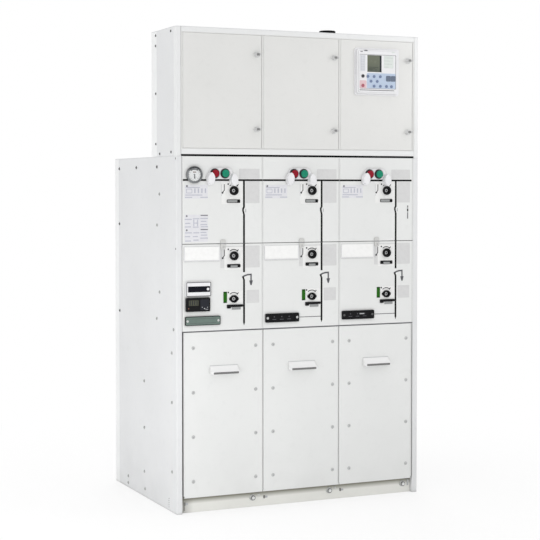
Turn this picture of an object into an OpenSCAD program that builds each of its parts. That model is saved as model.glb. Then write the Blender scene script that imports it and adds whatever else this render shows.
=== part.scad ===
// Ring main unit: three switch bays side by side with a low-voltage compartment on top.
// Lengths are millimetres, +Z is up and the front faces -Y.
// The origin lies on the floor, midway between the two sides and midway between
// the foremost and the rearmost face.
// Inside the modules x runs from the left side, y from the front face to the back, z from the floor.

/* [Cabinet] */
// Width of one switch bay
bay_w = 325; // [300:1:380]
// Width of the post face at each end of the bays
post_w = 23; // [18:1:32]
// Depth of the cabinet
depth = 715; // [640:5:850]
// Thickness of the cabinet sheet
sheet = 2; // [1.5:0.25:3]
// Outside radius of the folds in the cabinet sheet
fold_r = 4; // [3.5:0.5:6]
// Depth of the covers and front panels behind the front face
front_fold = 20; // [16:1:28]
// How far the rear cover wraps around the sides
rear_wrap = 50; // [40:1:80]

/* [Plinth] */
// Height of the plinth
plinth_h = 64; // [55:1:120]
// How far the plinth stands back from the front face
plinth_setback = 18; // [10:1:20]
// Width of the plinth rails' foot flanges
foot_w = 48; // [44:1:60]
// Thickness of the plinth rails
rail_t = 3; // [2:0.5:5]
// Diameter of the holes for the floor bolts
floor_bolt_d = 14; // [11:1:18]
// Distance of the floor bolts from the ends of the side rails
floor_bolt_inset = 60; // [30:1:120]
// Diameter of the cable grommets in the floor plates
grommet_d = 84; // [60:1:92]

/* [Cable covers] */
// Height of the cable covers
cover_h = 611; // [520:1:700]
// Gap between two covers
cover_gap = 3; // [2:0.5:6]
// Gap between the outer covers and the posts
cover_side_gap = 6; // [3:0.5:10]
// Gap between the rows of covers and panels
row_gap = 2.5; // [1.5:0.5:5]
// Width of a cover handle
handle_w = 110; // [80:1:150]
// Height of a cover handle
handle_h = 30; // [26:1:60]
// How far a cover handle stands out
handle_reach = 26; // [20:1:40]
// Height of the handle's lip
handle_lip = 6; // [4:1:12]
// Distance from the cover's top edge down to the handle's lip
handle_drop = 158; // [90:1:260]

/* [Operating front] */
// Height of the lower front panels
lower_panel_h = 324.5; // [320:0.5:400]
// Height of the upper front panels
upper_panel_h = 321; // [300:1:400]
// Gap between two front panels
panel_gap = 0.8; // [0.6:0.1:3]
// Distance of the lever sockets from the bay's left edge
lever_x = 206; // [200:1:240]
// Distance of the upper lever socket below the upper panel's top edge
upper_lever_drop = 124.5; // [118:0.5:160]
// Distance of the middle lever socket below the lower panel's top edge
middle_lever_drop = 45; // [35:1:80]
// Distance of the bottom lever socket above the lower panel's bottom edge
bottom_lever_rise = 118; // [90:1:160]
// Diameter of the lever bushings
bushing_d = 34; // [30:1:40]
// How far the lever bushings stand out
bushing_reach = 9; // [6:1:14]
// Bore of the lever sockets
lever_bore_d = 20; // [17:0.5:24]
// Diameter of the lever shafts
shaft_d = 14; // [10:0.5:15]
// Diameter of the bottom lever bushings
low_bushing_d = 28; // [27:1:36]
// Length of the ears on the bottom lever bushings, from their middle
ear_x = 19; // [17:1:30]
// Diameter of the pressure gauge
gauge_d = 63; // [52:1:70]
// Distance of the gauge from the first bay's left edge
gauge_x = 47; // [40:1:52]
// Distance of the gauge below the upper panel's top edge
gauge_drop = 66; // [45:1:90]
// Gap between the panels and the sealed switch tank
mechanism_d = 100; // [70:1:140]

/* [Push buttons] */
// Distance of the middle of the button pair from the bay's left edge
button_x = 148; // [144:1:152]
// Distance between the two buttons
button_pitch = 41; // [39:1:46]
// Distance of the buttons below the upper panel's top edge
button_drop = 60.5; // [45:0.5:64]
// Diameter of a button cap
button_d = 28; // [24:0.5:30]
// Outside diameter of a button collar
collar_d = 34.5; // [32:0.5:36]
// How far a button collar stands out
collar_reach = 13; // [12:1:16]
// How far a button stands out at rest
button_reach = 18; // [17:1:24]
// Travel of a button
button_travel = 4; // [2:0.5:4]
// Diameter of a button stem
stem_d = 12; // [8:0.5:14]
// Running clearance around the buttons
button_clear = 0.3; // [0.2:0.05:0.5]
// Thickness of the guard plate around the buttons
guard_t = 7; // [4:1:10]
// Length of a guard petal
petal_l = 48; // [42:1:54]
// Width of a guard petal
petal_w = 27; // [24:1:32]
// How far a guard petal stands out
petal_reach = 26; // [26:1:30]
// Free space between a button and the petal edge in front of it
petal_clear = 5.4; // [5:0.2:6]
// Lean of the guard petals towards the buttons, in degrees
petal_lean = 5; // [0:1:12]

/* [Front fittings] */
// Width of a label holder
label_w = 143; // [100:1:160]
// Height of a label holder
label_h = 53; // [40:1:60]
// Width of a voltage indicator
indicator_w = 140; // [110:1:160]
// Height of a voltage indicator
indicator_h = 33.5; // [30:0.5:46]
// Distance of the instruments from the bay's left edge
fitting_x = 12; // [8:1:20]
// How far the instruments stand out
fitting_t = 10; // [6:1:14]
// Width of the display unit
display_w = 99; // [80:1:110]
// Height of the display unit
display_h = 54; // [46:1:58]
// Distance of the display unit above the lower panel's bottom edge
display_rise = 131.5; // [131:0.5:145]
// Width of the fault indicator
fault_w = 95; // [80:1:110]
// Height of the fault indicator
fault_h = 51; // [44:1:54]
// Distance of the fault indicator above the lower panel's bottom edge
fault_rise = 75.5; // [66:0.5:76]
// Width of a padlock tab
latch_w = 20; // [14:1:30]
// Height of a padlock tab
latch_h = 36; // [30:1:50]
// Diameter of the earth bolts' thread
earth_d = 12; // [8:1:16]

/* [Low-voltage compartment] */
// Height of the compartment
lvc_h = 476; // [420:1:560]
// Depth of the compartment
lvc_d = 268; // [240:1:340]
// Height of the dark joint under the compartment
joint_h = 6; // [4:0.5:10]
// Face width of the compartment's frame
frame_w = 20; // [16:1:30]
// Width of the lip the doors close towards
lip_w = 12; // [8:1:18]
// Gap around the doors
door_gap = 5; // [4:0.5:6]
// Depth of the doors
door_d = 20; // [16:1:24]
// Distance from the doors' back edge to the lip
door_seat = 5; // [4:0.5:8]
// Edge radius of the doors, which is also the distance of their hinge axes from their faces
door_r = 5; // [4.5:0.5:7]
// Diameter of the hinge pins
pin_d = 5; // [4:0.5:5]
// Running clearance of the hinge pins
pin_clear = 0.3; // [0.1:0.05:0.4]
// Width of the mullions behind the door joints
mullion_w = 30; // [24:1:40]
// How far the compartment's rear wall wraps around its sides
lvc_wrap = 60; // [40:1:90]
// Distance of the door locks from the doors' free edges
lock_inset = 22; // [21:1:32]
// Distance of the door locks from the doors' top and bottom edges
lock_end = 70; // [50:1:110]
// Diameter of the lock bodies
lock_d = 19; // [14:1:20]
// How far the lock wings stand out
lock_reach = 16; // [12:1:20]
// Diameter of the cable inlet cap on the roof
cap_d = 64; // [48:1:90]
// Height of the cable inlet cap on the roof
cap_h = 18; // [12:1:26]
// Distance of the cable inlet cap from the left side
cap_x = 669; // [400:1:800]
// Distance of the cable inlet cap from the front face
cap_y = 100; // [70:1:180]

/* [Protection relay] */
// Width of the relay's flange
relay_w = 194; // [170:1:200]
// Height of the relay's flange
relay_h = 183; // [160:1:200]
// Distance of the relay from the third door's hinge edge
relay_x = 60; // [50:1:62]
// Distance of the relay below the third door's top edge
relay_drop = 27; // [24:1:60]
// How far the relay's front stands out
relay_reach = 14; // [12:1:25]
// Depth of the relay's case behind the door
relay_case_d = 130; // [90:1:150]
// Distance of the operating face from the relay's left and right edges
relay_side = 16.5; // [14:0.5:22]
// Distance of the operating face from the relay's top and bottom edges
relay_end = 25; // [18:1:32]

/* [Hidden] */
$fn = 48;
bays = 3;
over = 1;
unit_w = bays * bay_w + 2 * post_w;
reach = max(handle_reach, relay_reach, lock_reach, button_reach, petal_reach);
cover_z = plinth_h;
lower_z = cover_z + cover_h + row_gap;
upper_z = lower_z + lower_panel_h + row_gap;
upper_top = upper_z + upper_panel_h;
roof_z = upper_top + row_gap + sheet;
lower_top = lower_z + lower_panel_h;
side_d = depth - rear_wrap;
post_fold = front_fold + 25;
rear_fold = 20;
cross_d = 24;
cross_h = 40;
cover_w = (bays * bay_w - 2 * cover_side_gap - (bays - 1) * cover_gap) / bays;
panel_w = bay_w - panel_gap;
side_rail_y0 = plinth_setback + foot_w;
side_rail_y1 = side_d - rear_fold;
floor_bolt_x = sheet + rail_t + (foot_w - rail_t) / 2;
plate_y0 = front_fold + 4;
plate_y1 = depth - sheet - 8;
grommet_flange = grommet_d * 0.08;
grommet_pitch = bay_w / 3;
tank_y0 = front_fold + mechanism_d;
neck_d = lever_bore_d + 5;
neck_clear = 0.2;
neck_depth = 6;
ear_r = 3;
gauge_can_r = gauge_d / 2 - 5;
gauge_clear = 0.5;
gauge_back = front_fold - 2;
gauge_reach = 12;
dial_z = 5;
glass_z = 8;
glass_t = 2;
lever_z = [upper_top - upper_lever_drop, lower_top - middle_lever_drop, lower_z + bottom_lever_rise];
button_z = upper_top - button_drop;
guard_bore = button_d + 10;
guard_r = guard_bore / 2 + 2;
petal_r = (petal_l * petal_l + petal_w * petal_w) / (4 * petal_w);
petal_crown = petal_l * 3;
cap_back = button_travel + 3;
rebate_d = door_d + door_seat + sheet;
rail_z = roof_z + joint_h;
lvc_top = roof_z + lvc_h;
door_w = (unit_w - 2 * frame_w - (bays + 1) * door_gap) / bays;
door_z = rail_z + frame_w + door_gap;
door_h = lvc_top - frame_w - door_gap - door_z;
pin_reach = 6;
mullion_d = 24;
lock_clear = 0.2;
relay_hole_w = relay_w - 30;
relay_hole_h = relay_h - 24;
relay_clear = 0.5;
relay_base = 5;
relay_step = 6;
relay_sink = 2;
relay_face_w = relay_w - 2 * relay_side;
relay_face_h = relay_h - 2 * relay_end;
relay_z = door_h - relay_drop - relay_h;
screen_x = relay_face_w * 0.217;
screen_z = relay_face_h * 0.49;
screen_w = relay_face_w * 0.39;
screen_h = relay_face_h * 0.49;
key_pitch = relay_face_w * 0.17;
key_d = relay_face_w * 0.07;
indicator_rise = 23.5;
indicator_x = 10;
indicator_t = 6;
window_d = 2;
label_x = 7;
label_t = 3;
label_drop = 9;
latch_t = 3;

function bay_left(i) = post_w + i * bay_w;
function cover_left(i) = post_w + cover_side_gap + i * (cover_w + cover_gap);
function door_left(i) = frame_w + door_gap + i * (door_w + door_gap);
function button_at(i, side) = bay_left(i) + button_x + side * button_pitch / 2;

module placed() {
    translate([-unit_w / 2, -(depth - reach) / 2, 0]) children();
}

// Flat outline in x and z, given a thickness from y = back towards the front.
module proud(t, back = 0) {
    translate([0, back, 0]) rotate([90, 0, 0]) linear_extrude(t) children();
}

// Turned shape with its axis along -Y.
module facing() {
    rotate([90, 0, 0]) children();
}

module rounded(w, h, r) {
    translate([r, 0]) square([w - 2 * r, h]);
    translate([0, r]) square([w, h - 2 * r]);
    for (x = [r, w - r], z = [r, h - r]) translate([x, z]) circle(r);
}

// Plan of a folded sheet with its two front corners rounded.
module folded_plan(w, d, r) {
    translate([0, r]) square([w, d - r]);
    translate([r, 0]) square([w - 2 * r, d / 2]);
    for (x = [r, w - r]) translate([x, r]) circle(r);
}

// Panel with a folded edge all round, open at the back.
module folded_tray(w, d, h, r) {
    difference() {
        linear_extrude(h) folded_plan(w, d, r);
        translate([sheet, sheet, sheet])
            linear_extrude(h - 2 * sheet) folded_plan(w - 2 * sheet, d, r - sheet);
    }
}

// Sheet folded to a U in plan, open at the back.
module folded_channel(w, d, h) {
    linear_extrude(h) difference() {
        folded_plan(w, d, fold_r);
        translate([sheet, sheet]) folded_plan(w - 2 * sheet, d, fold_r - sheet);
    }
}

// Plinth

module plinth_channel(w) {
    rotate([90, 0, 90]) linear_extrude(w) {
        square([rail_t, plinth_h]);
        square([foot_w, rail_t]);
        translate([0, plinth_h - rail_t]) square([foot_w * 0.6, rail_t]);
    }
}

module plinth_rails() {
    color([0.80, 0.81, 0.81]) {
        translate([post_w, plinth_setback, 0]) plinth_channel(unit_w - 2 * post_w);
        translate([unit_w - fold_r, depth - sheet, 0]) rotate([0, 0, 180])
            plinth_channel(unit_w - 2 * fold_r);
    }
}

module plinth_side_rail() {
    difference() {
        translate([sheet, side_rail_y1, 0]) rotate([90, 0, 0])
            linear_extrude(side_rail_y1 - side_rail_y0) {
                square([rail_t, plinth_h]);
                square([foot_w, rail_t]);
            }
        for (y = [side_rail_y0 + floor_bolt_inset, side_rail_y1 - floor_bolt_inset])
            translate([floor_bolt_x, y, -over]) cylinder(d = floor_bolt_d, h = rail_t + 2 * over);
    }
}

module plinth_side_rails() {
    color([0.80, 0.81, 0.81]) {
        plinth_side_rail();
        translate([unit_w, 0, 0]) mirror([1, 0, 0]) plinth_side_rail();
    }
}

module grommet_places(i) {
    for (k = [0 : 2])
        translate([bay_left(i) + (k + 0.5) * grommet_pitch, depth / 2, plinth_h]) children();
}

module floor_plates() {
    color([0.72, 0.73, 0.74]) for (i = [0 : bays - 1]) difference() {
        translate([bay_left(i) + panel_gap / 2, plate_y0, plinth_h])
            cube([panel_w, plate_y1 - plate_y0, sheet]);
        grommet_places(i) translate([0, 0, -over]) cylinder(d = grommet_d, h = sheet + 2 * over);
    }
}

module cable_grommets() {
    r = grommet_d / 2;
    groove = r - 0.3;
    rim = grommet_d * 0.06;
    color([0.10, 0.10, 0.10]) for (i = [0 : bays - 1]) grommet_places(i) rotate_extrude()
        polygon([[0, -5 * rim], [r * 0.4, -5 * rim], [r - rim, -rim], [groove, -rim], [groove, sheet],
            [r + grommet_flange, sheet], [r + grommet_flange, sheet + rim], [0, sheet + rim]]);
}

// Cabinet

module side_panel() {
    linear_extrude(roof_z - sheet) difference() {
        folded_plan(post_w, side_d, fold_r);
        translate([sheet, sheet]) square([post_w - 2 * sheet, side_d - 2 * sheet]);
        translate([post_w / 2, post_fold]) square([post_w, side_d - post_fold - rear_fold]);
    }
}

module side_panels() {
    color([0.89, 0.90, 0.90]) {
        side_panel();
        translate([unit_w, 0, 0]) mirror([1, 0, 0]) side_panel();
    }
}

module rear_cover() {
    color([0.88, 0.89, 0.89]) translate([0, depth, 0]) mirror([0, 1, 0])
        folded_channel(unit_w, rear_wrap, roof_z - sheet);
}

module roof_plate() {
    color([0.89, 0.90, 0.90]) translate([0, 0, roof_z - sheet])
        linear_extrude(sheet) rounded(unit_w, depth, fold_r);
}

module front_crossbars() {
    color([0.62, 0.63, 0.64])
        for (z = [lower_z - row_gap / 2 - cross_h / 2, upper_z - row_gap / 2 - cross_h / 2,
                roof_z - sheet - cross_h])
            translate([post_w, front_fold, z]) cube([unit_w - 2 * post_w, cross_d, cross_h]);
}

module switch_tank() {
    color([0.66, 0.67, 0.68]) translate([post_w, tank_y0, lower_z])
        cube([unit_w - 2 * post_w, side_d - tank_y0, roof_z - sheet - lower_z]);
}

// Front panels and cable covers

module upper_front_panels() {
    color([0.91, 0.91, 0.91]) for (i = [0 : bays - 1]) difference() {
        translate([bay_left(i) + panel_gap / 2, 0, upper_z])
            folded_tray(panel_w, front_fold, upper_panel_h, fold_r);
        translate([bay_left(i) + lever_x, sheet + over, lever_z[0]]) facing()
            cylinder(d = neck_d + 2 * neck_clear, h = sheet + 2 * over);
        for (side = [-1, 1]) translate([button_at(i, side), sheet + over, button_z]) facing()
            cylinder(d = stem_d + 2, h = sheet + 2 * over);
        if (i == 0) translate([bay_left(0) + gauge_x, sheet + over, upper_top - gauge_drop]) facing()
            cylinder(r = gauge_can_r + gauge_clear, h = sheet + 2 * over);
    }
}

module lower_front_panels() {
    color([0.91, 0.91, 0.91]) for (i = [0 : bays - 1]) difference() {
        translate([bay_left(i) + panel_gap / 2, 0, lower_z])
            folded_tray(panel_w, front_fold, lower_panel_h, fold_r);
        for (z = [lever_z[1], lever_z[2]]) translate([bay_left(i) + lever_x, sheet + over, z]) facing()
            cylinder(d = neck_d + 2 * neck_clear, h = sheet + 2 * over);
    }
}

module cable_covers() {
    color([0.92, 0.92, 0.92]) for (i = [0 : bays - 1])
        translate([cover_left(i), 0, cover_z]) folded_tray(cover_w, front_fold, cover_h, fold_r);
}

// Scoop handle: a sloping hood with closed ends and an open underside.
module cover_handle() {
    hood = handle_reach - sheet;
    difference() {
        rotate([90, 0, 90]) linear_extrude(handle_w)
            polygon([[0, 0], [0, handle_h], [-handle_reach, handle_lip], [-handle_reach, 0]]);
        translate([sheet, 0, 0]) rotate([90, 0, 90]) linear_extrude(handle_w - 2 * sheet)
            polygon([[over, -over], [over, handle_h - 2 * sheet], [0, handle_h - 2 * sheet],
                [-hood, handle_lip - sheet / 2], [-hood, -over]]);
    }
}

module cover_handles() {
    color([0.93, 0.93, 0.93]) for (i = [0 : bays - 1])
        translate([cover_left(i) + (cover_w - handle_w) / 2, 0, cover_z + cover_h - handle_drop])
            cover_handle();
}

module joint_strip() {
    color([0.05, 0.05, 0.05]) translate([frame_w, 1, roof_z])
        cube([unit_w - 2 * frame_w, rebate_d - 1, joint_h]);
}

// Push buttons

// Petal of the guard: a leaf outline under a domed face.
module guard_petal(lean) {
    aside = petal_r - petal_w / 2;
    rotate([0, lean, 0]) intersection() {
        proud(petal_reach) intersection() {
            translate([-aside, 0]) circle(petal_r);
            translate([aside, 0]) circle(petal_r);
        }
        translate([0, petal_crown - petal_reach, 0]) sphere(petal_crown);
    }
}

// Guard of a button pair: a plate around the collars with a petal beside each button,
// cleared around the buttons and the lever socket below. The left petal's edge stands in front of its button.
module button_guard() {
    half = button_pitch / 2;
    difference() {
        union() {
            translate([-half - guard_r, 0, -guard_r]) proud(guard_t)
                rounded(button_pitch + 2 * guard_r + petal_w / 3, 2 * guard_r, guard_r - 1);
            translate([-half - petal_w * 0.71, 0, -petal_l * 0.4]) guard_petal(petal_lean);
            translate([half + petal_w * 1.21, 0, -petal_l * 0.5]) guard_petal(-petal_lean);
        }
        for (side = [-1, 1]) translate([side * half, over, 0]) facing()
            cylinder(d = guard_bore, h = button_reach + petal_clear + over);
        translate([lever_x - button_x, over, lever_z[0] - button_z]) facing()
            cylinder(d = bushing_d + 4, h = petal_reach + 2 * over);
    }
}

module button_guards() {
    color([0.94, 0.94, 0.94]) for (i = [0 : bays - 1])
        translate([bay_left(i) + button_x, 0, button_z]) button_guard();
}

module button_collars() {
    color([0.05, 0.05, 0.05]) for (i = [0 : bays - 1], side = [-1, 1])
        translate([button_at(i, side), 0, button_z]) facing() rotate_extrude()
            polygon([[stem_d / 2 + button_clear, 0], [collar_d / 2, 0],
                [collar_d / 2, collar_reach - 1.5], [collar_d / 2 - 1.5, collar_reach],
                [button_d / 2 + button_clear, collar_reach], [button_d / 2 + button_clear, 2],
                [stem_d / 2 + button_clear, 2]]);
}

module push_button(i, side) {
    translate([button_at(i, side), 0, button_z]) facing() rotate_extrude()
        polygon([[0, -30], [stem_d / 2, -30], [stem_d / 2, cap_back], [button_d / 2, cap_back],
            [button_d / 2, button_reach - 2], [button_d / 2 - 2, button_reach],
            [button_d / 2 - 6, button_reach], [button_d / 2 - 8, button_reach - 1], [0, button_reach - 1]]);
}

module open_button_1() { color([0.68, 0.05, 0.10]) push_button(0, -1); }
module close_button_1() { color([0.05, 0.55, 0.40]) push_button(0, 1); }
module open_button_2() { color([0.68, 0.05, 0.10]) push_button(1, -1); }
module close_button_2() { color([0.05, 0.55, 0.40]) push_button(1, 1); }
module open_button_3() { color([0.68, 0.05, 0.10]) push_button(2, -1); }
module close_button_3() { color([0.05, 0.55, 0.40]) push_button(2, 1); }

// Lever sockets

module lever_places() {
    for (i = [0 : bays - 1], k = [0 : 2])
        translate([bay_left(i) + lever_x, 0, lever_z[k]]) facing() children();
}

// Diamond flange with clipped corners, seen from the front.
module eared_flange() {
    half = low_bushing_d / 2;
    polygon([[-ear_x, -ear_r], [-half * 0.5, -half * 0.95], [half * 0.5, -half * 0.95], [ear_x, -ear_r],
        [ear_x, ear_r], [half * 0.5, half * 0.95], [-half * 0.5, half * 0.95], [-ear_x, ear_r]]);
}

module lever_bushing(eared) {
    difference() {
        union() {
            cylinder(d = eared ? low_bushing_d : bushing_d, h = bushing_reach);
            translate([0, 0, -neck_depth]) cylinder(d = neck_d, h = neck_depth + over);
            if (eared) linear_extrude(4) eared_flange();
        }
        cylinder(d = lever_bore_d, h = bushing_reach + over);
        translate([0, 0, -neck_depth - over])
            cylinder(d = shaft_d + 2 * neck_clear, h = neck_depth + 2 * over);
    }
}

module lever_bushings() {
    color([0.05, 0.05, 0.05]) for (i = [0 : bays - 1], k = [0 : 2])
        translate([bay_left(i) + lever_x, 0, lever_z[k]]) facing() lever_bushing(k == 2);
}

module lever_shafts() {
    color([0.72, 0.73, 0.74]) lever_places() rotate_extrude()
        polygon([[0, -tank_y0], [shaft_d / 2, -tank_y0], [shaft_d / 2, -0.6], [shaft_d / 2 - 0.6, 0],
            [shaft_d / 5, 0], [shaft_d / 5, -3], [0, -3]]);
}

// Instruments

module at_gauge() {
    translate([bay_left(0) + gauge_x, 0, upper_top - gauge_drop]) facing() children();
}

module pressure_gauge() {
    r = gauge_d / 2;
    color([0.50, 0.51, 0.52]) at_gauge() rotate_extrude()
        polygon([[0, -gauge_back], [gauge_can_r, -gauge_back], [gauge_can_r, 0], [r, 0], [r, gauge_reach - 3],
            [r - 3, gauge_reach], [r - 5, gauge_reach], [r - 6, glass_z + glass_t / 2], [r - 6, glass_z],
            [r - 7, glass_z], [r - 7, dial_z], [0, dial_z]]);
}

module gauge_glass() {
    color([0.85, 0.90, 0.92, 0.4]) at_gauge()
        translate([0, 0, glass_z]) cylinder(r = gauge_d / 2 - 6.2, h = glass_t);
}

// Instrument case with rounded corners and a sunk window.
module instrument(w, h, t, r, window) {
    difference() {
        proud(t) rounded(w, h, r);
        translate([window[0], window_d - t, window[1]]) proud(window_d + over)
            rounded(window[2], window[3], r / 2);
    }
}

module voltage_indicators() {
    color([0.06, 0.06, 0.07]) for (i = [0 : bays - 1])
        translate([bay_left(i) + indicator_x, 0, lower_z + indicator_rise])
            instrument(indicator_w, indicator_h, indicator_t, 4,
                [indicator_w * 0.13, indicator_h * 0.18, indicator_w * 0.74, indicator_h * 0.64]);
}

module display_unit() {
    color([0.93, 0.93, 0.93]) translate([bay_left(0) + fitting_x, 0, lower_z + display_rise])
        instrument(display_w, display_h, fitting_t, 4,
            [display_w * 0.08, display_h * 0.32, display_w * 0.86, display_h * 0.36]);
}

module fault_indicator() {
    color([0.07, 0.08, 0.08]) translate([bay_left(0) + fitting_x, 0, lower_z + fault_rise])
        instrument(fault_w, fault_h, fitting_t, 3,
            [fault_w * 0.1, fault_h * 0.42, fault_w * 0.42, fault_h * 0.42]);
}

// Label holder: a thin plate with a raised rim left open at the top.
module label_holders() {
    rim = 2;
    color([0.94, 0.94, 0.95]) for (i = [0 : bays - 1])
        translate([bay_left(i) + label_x, 0, lower_top - label_drop - label_h]) difference() {
            proud(label_t) rounded(label_w, label_h, rim);
            translate([rim, -label_t / 2, rim]) proud(label_t) square([label_w - 2 * rim, label_h]);
        }
}

module padlock_tabs() {
    color([0.70, 0.71, 0.72]) for (i = [0 : bays - 1])
        translate([bay_left(i) + label_x + label_w + 2.5, 0, upper_z - row_gap - latch_h * 0.55]) difference() {
            proud(latch_t) rounded(latch_w, latch_h, latch_w / 4);
            translate([latch_w / 2, over, latch_h * 0.25]) facing()
                cylinder(d = latch_w * 0.4, h = latch_t + 2 * over);
        }
}

module earth_bolts() {
    color([0.72, 0.72, 0.70]) for (i = [1 : bays])
        translate([bay_left(i) - 36, plinth_setback, plinth_h * 0.55]) facing() {
            cylinder(d = 2 * earth_d, h = 2.5);
            translate([0, 0, 2]) cylinder(d = earth_d * 1.83, h = earth_d * 0.6, $fn = 6);
            cylinder(d = earth_d, h = earth_d * 1.1);
        }
}

// Low-voltage compartment

module compartment_post() {
    linear_extrude(lvc_h - sheet) difference() {
        folded_plan(frame_w, rebate_d, fold_r);
        translate([sheet, sheet]) square([frame_w - 2 * sheet, rebate_d]);
    }
    translate([frame_w - sheet, rebate_d - sheet, door_z - roof_z - door_gap + lip_w])
        cube([sheet + lip_w, sheet, door_h + 2 * door_gap - 2 * lip_w]);
}

module compartment_posts() {
    color([0.90, 0.90, 0.90]) {
        translate([0, 0, roof_z]) compartment_post();
        translate([unit_w, 0, roof_z]) mirror([1, 0, 0]) compartment_post();
    }
}

// Rail with its lip upwards, in y and z from the rail's outer edge.
module rail_profile(h) {
    square([sheet, h]);
    square([rebate_d, sheet]);
    translate([0, h - sheet]) square([rebate_d, sheet]);
    translate([rebate_d - sheet, h - sheet]) square([sheet, sheet + lip_w]);
}

module compartment_rails() {
    color([0.90, 0.90, 0.90]) {
        translate([frame_w, 0, rail_z]) rotate([90, 0, 90])
            linear_extrude(unit_w - 2 * frame_w) rail_profile(frame_w);
        translate([frame_w, 0, lvc_top - sheet]) mirror([0, 0, 1]) rotate([90, 0, 90])
            linear_extrude(unit_w - 2 * frame_w) rail_profile(frame_w - sheet);
    }
}

module compartment_mullions() {
    color([0.86, 0.87, 0.87]) for (i = [1, 2])
        translate([door_left(i) - door_gap / 2 - mullion_w / 2, rebate_d, rail_z + sheet])
            cube([mullion_w, mullion_d, lvc_top - rail_z - 2 * sheet]);
}

module compartment_sides() {
    color([0.90, 0.90, 0.90]) for (x = [0, unit_w - sheet])
        translate([x, rebate_d, roof_z]) cube([sheet, lvc_d - lvc_wrap - rebate_d, lvc_h - sheet]);
}

module compartment_roof() {
    color([0.90, 0.90, 0.90]) translate([0, 0, lvc_top - sheet])
        linear_extrude(sheet) rounded(unit_w, lvc_d, fold_r);
}

module compartment_floor() {
    color([0.86, 0.87, 0.87]) translate([fold_r, rebate_d, rail_z])
        cube([unit_w - 2 * fold_r, lvc_d - sheet - rebate_d, sheet]);
}

module compartment_rear() {
    color([0.90, 0.90, 0.90]) translate([0, lvc_d, roof_z]) mirror([0, 1, 0])
        folded_channel(unit_w, lvc_wrap, lvc_h - sheet);
}

module hinge_pins() {
    len = door_gap + sheet + pin_reach;
    color([0.60, 0.61, 0.62])
        for (i = [0 : bays - 1], z = [door_z - door_gap, door_z + door_h + door_gap - len])
            translate([door_left(i) + door_r, door_r, z]) cylinder(d = pin_d, h = len);
}

module cable_inlet_cap() {
    r = cap_d / 2;
    color([0.06, 0.06, 0.06]) translate([cap_x, cap_y, lvc_top]) rotate_extrude()
        polygon([[0, 0], [r - 1, 0], [r - 1, 4], [r - 3, 5], [r - 3, 7], [r, 8],
            [r, cap_h - 2], [r - 2, cap_h], [0, cap_h]]);
}

// Doors

module lock_places() {
    for (z = [lock_end, door_h - lock_end]) translate([door_w - lock_inset, 0, z]) children();
}

module door_panel() {
    bore = pin_d + 2 * pin_clear;
    difference() {
        folded_tray(door_w, door_d, door_h, door_r);
        translate([door_r, door_r, -over]) cylinder(d = bore, h = sheet + 2 * over);
        translate([door_r, door_r, door_h - sheet - over]) cylinder(d = bore, h = sheet + 2 * over);
        lock_places() translate([0, sheet + over, 0]) facing()
            cylinder(d = lock_d + 2 * lock_clear, h = sheet + 2 * over);
    }
}

module door_1() { color([0.92, 0.92, 0.92]) translate([door_left(0), 0, door_z]) door_panel(); }
module door_2() { color([0.92, 0.92, 0.92]) translate([door_left(1), 0, door_z]) door_panel(); }

module door_3() {
    color([0.92, 0.92, 0.92]) translate([door_left(2), 0, door_z]) difference() {
        door_panel();
        translate([relay_x + (relay_w - relay_hole_w) / 2, -over, relay_z + (relay_h - relay_hole_h) / 2])
            cube([relay_hole_w, sheet + 2 * over, relay_hole_h]);
    }
}

// Quarter-turn lock: flange and wing outside, body and nut inside, with its cam hanging straight down.
module door_lock() {
    wing_t = 8;
    facing() {
        cylinder(d = lock_d + 5, h = 3);
        translate([0, 0, -door_d + 3]) cylinder(d = lock_d, h = door_d);
        translate([0, 0, -sheet - 6]) cylinder(d = lock_d + 8, h = 6);
        cylinder(d = lock_d - 4, h = lock_reach - 3);
    }
    translate([-(lock_d + 9) / 2, -lock_reach, -wing_t / 2]) cube([lock_d + 9, lock_reach - 6, wing_t]);
    translate([-6, door_d - 7, -34]) cube([12, 3, 40]);
}

module door_locks(i) {
    color([0.45, 0.46, 0.47]) translate([door_left(i), 0, door_z]) lock_places() door_lock();
}

module door_1_locks() { door_locks(0); }
module door_2_locks() { door_locks(1); }
module door_3_locks() { door_locks(2); }

// Protection relay

module at_relay() {
    translate([door_left(2) + relay_x, 0, door_z + relay_z]) children();
}

module relay_case() {
    w = relay_hole_w - 2 * relay_clear;
    h = relay_hole_h - 2 * relay_clear;
    color([0.62, 0.63, 0.64]) at_relay()
        translate([(relay_w - w) / 2, 0, (relay_h - h) / 2]) cube([w, relay_case_d, h]);
}

// Moulded front: a flange against the door, a stepped rim, a sunk operating face and a screen window in it.
module relay_front() {
    color([0.94, 0.94, 0.95]) at_relay() difference() {
        union() {
            proud(relay_base) rounded(relay_w, relay_h, 10);
            for (k = [1, 2]) translate([k * relay_step, 0, k * relay_step])
                proud(relay_reach - (2 - k) * relay_sink)
                    rounded(relay_w - 2 * k * relay_step, relay_h - 2 * k * relay_step, 10 - 2 * k);
        }
        translate([relay_side, relay_sink - relay_reach, relay_end]) {
            proud(relay_sink + over) rounded(relay_face_w, relay_face_h, 4);
            translate([screen_x, relay_sink, screen_z]) proud(relay_sink + over) square([screen_w, screen_h]);
        }
    }
}

module on_relay_face() {
    at_relay() translate([relay_side, relay_sink - relay_reach, relay_end]) children();
}

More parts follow.
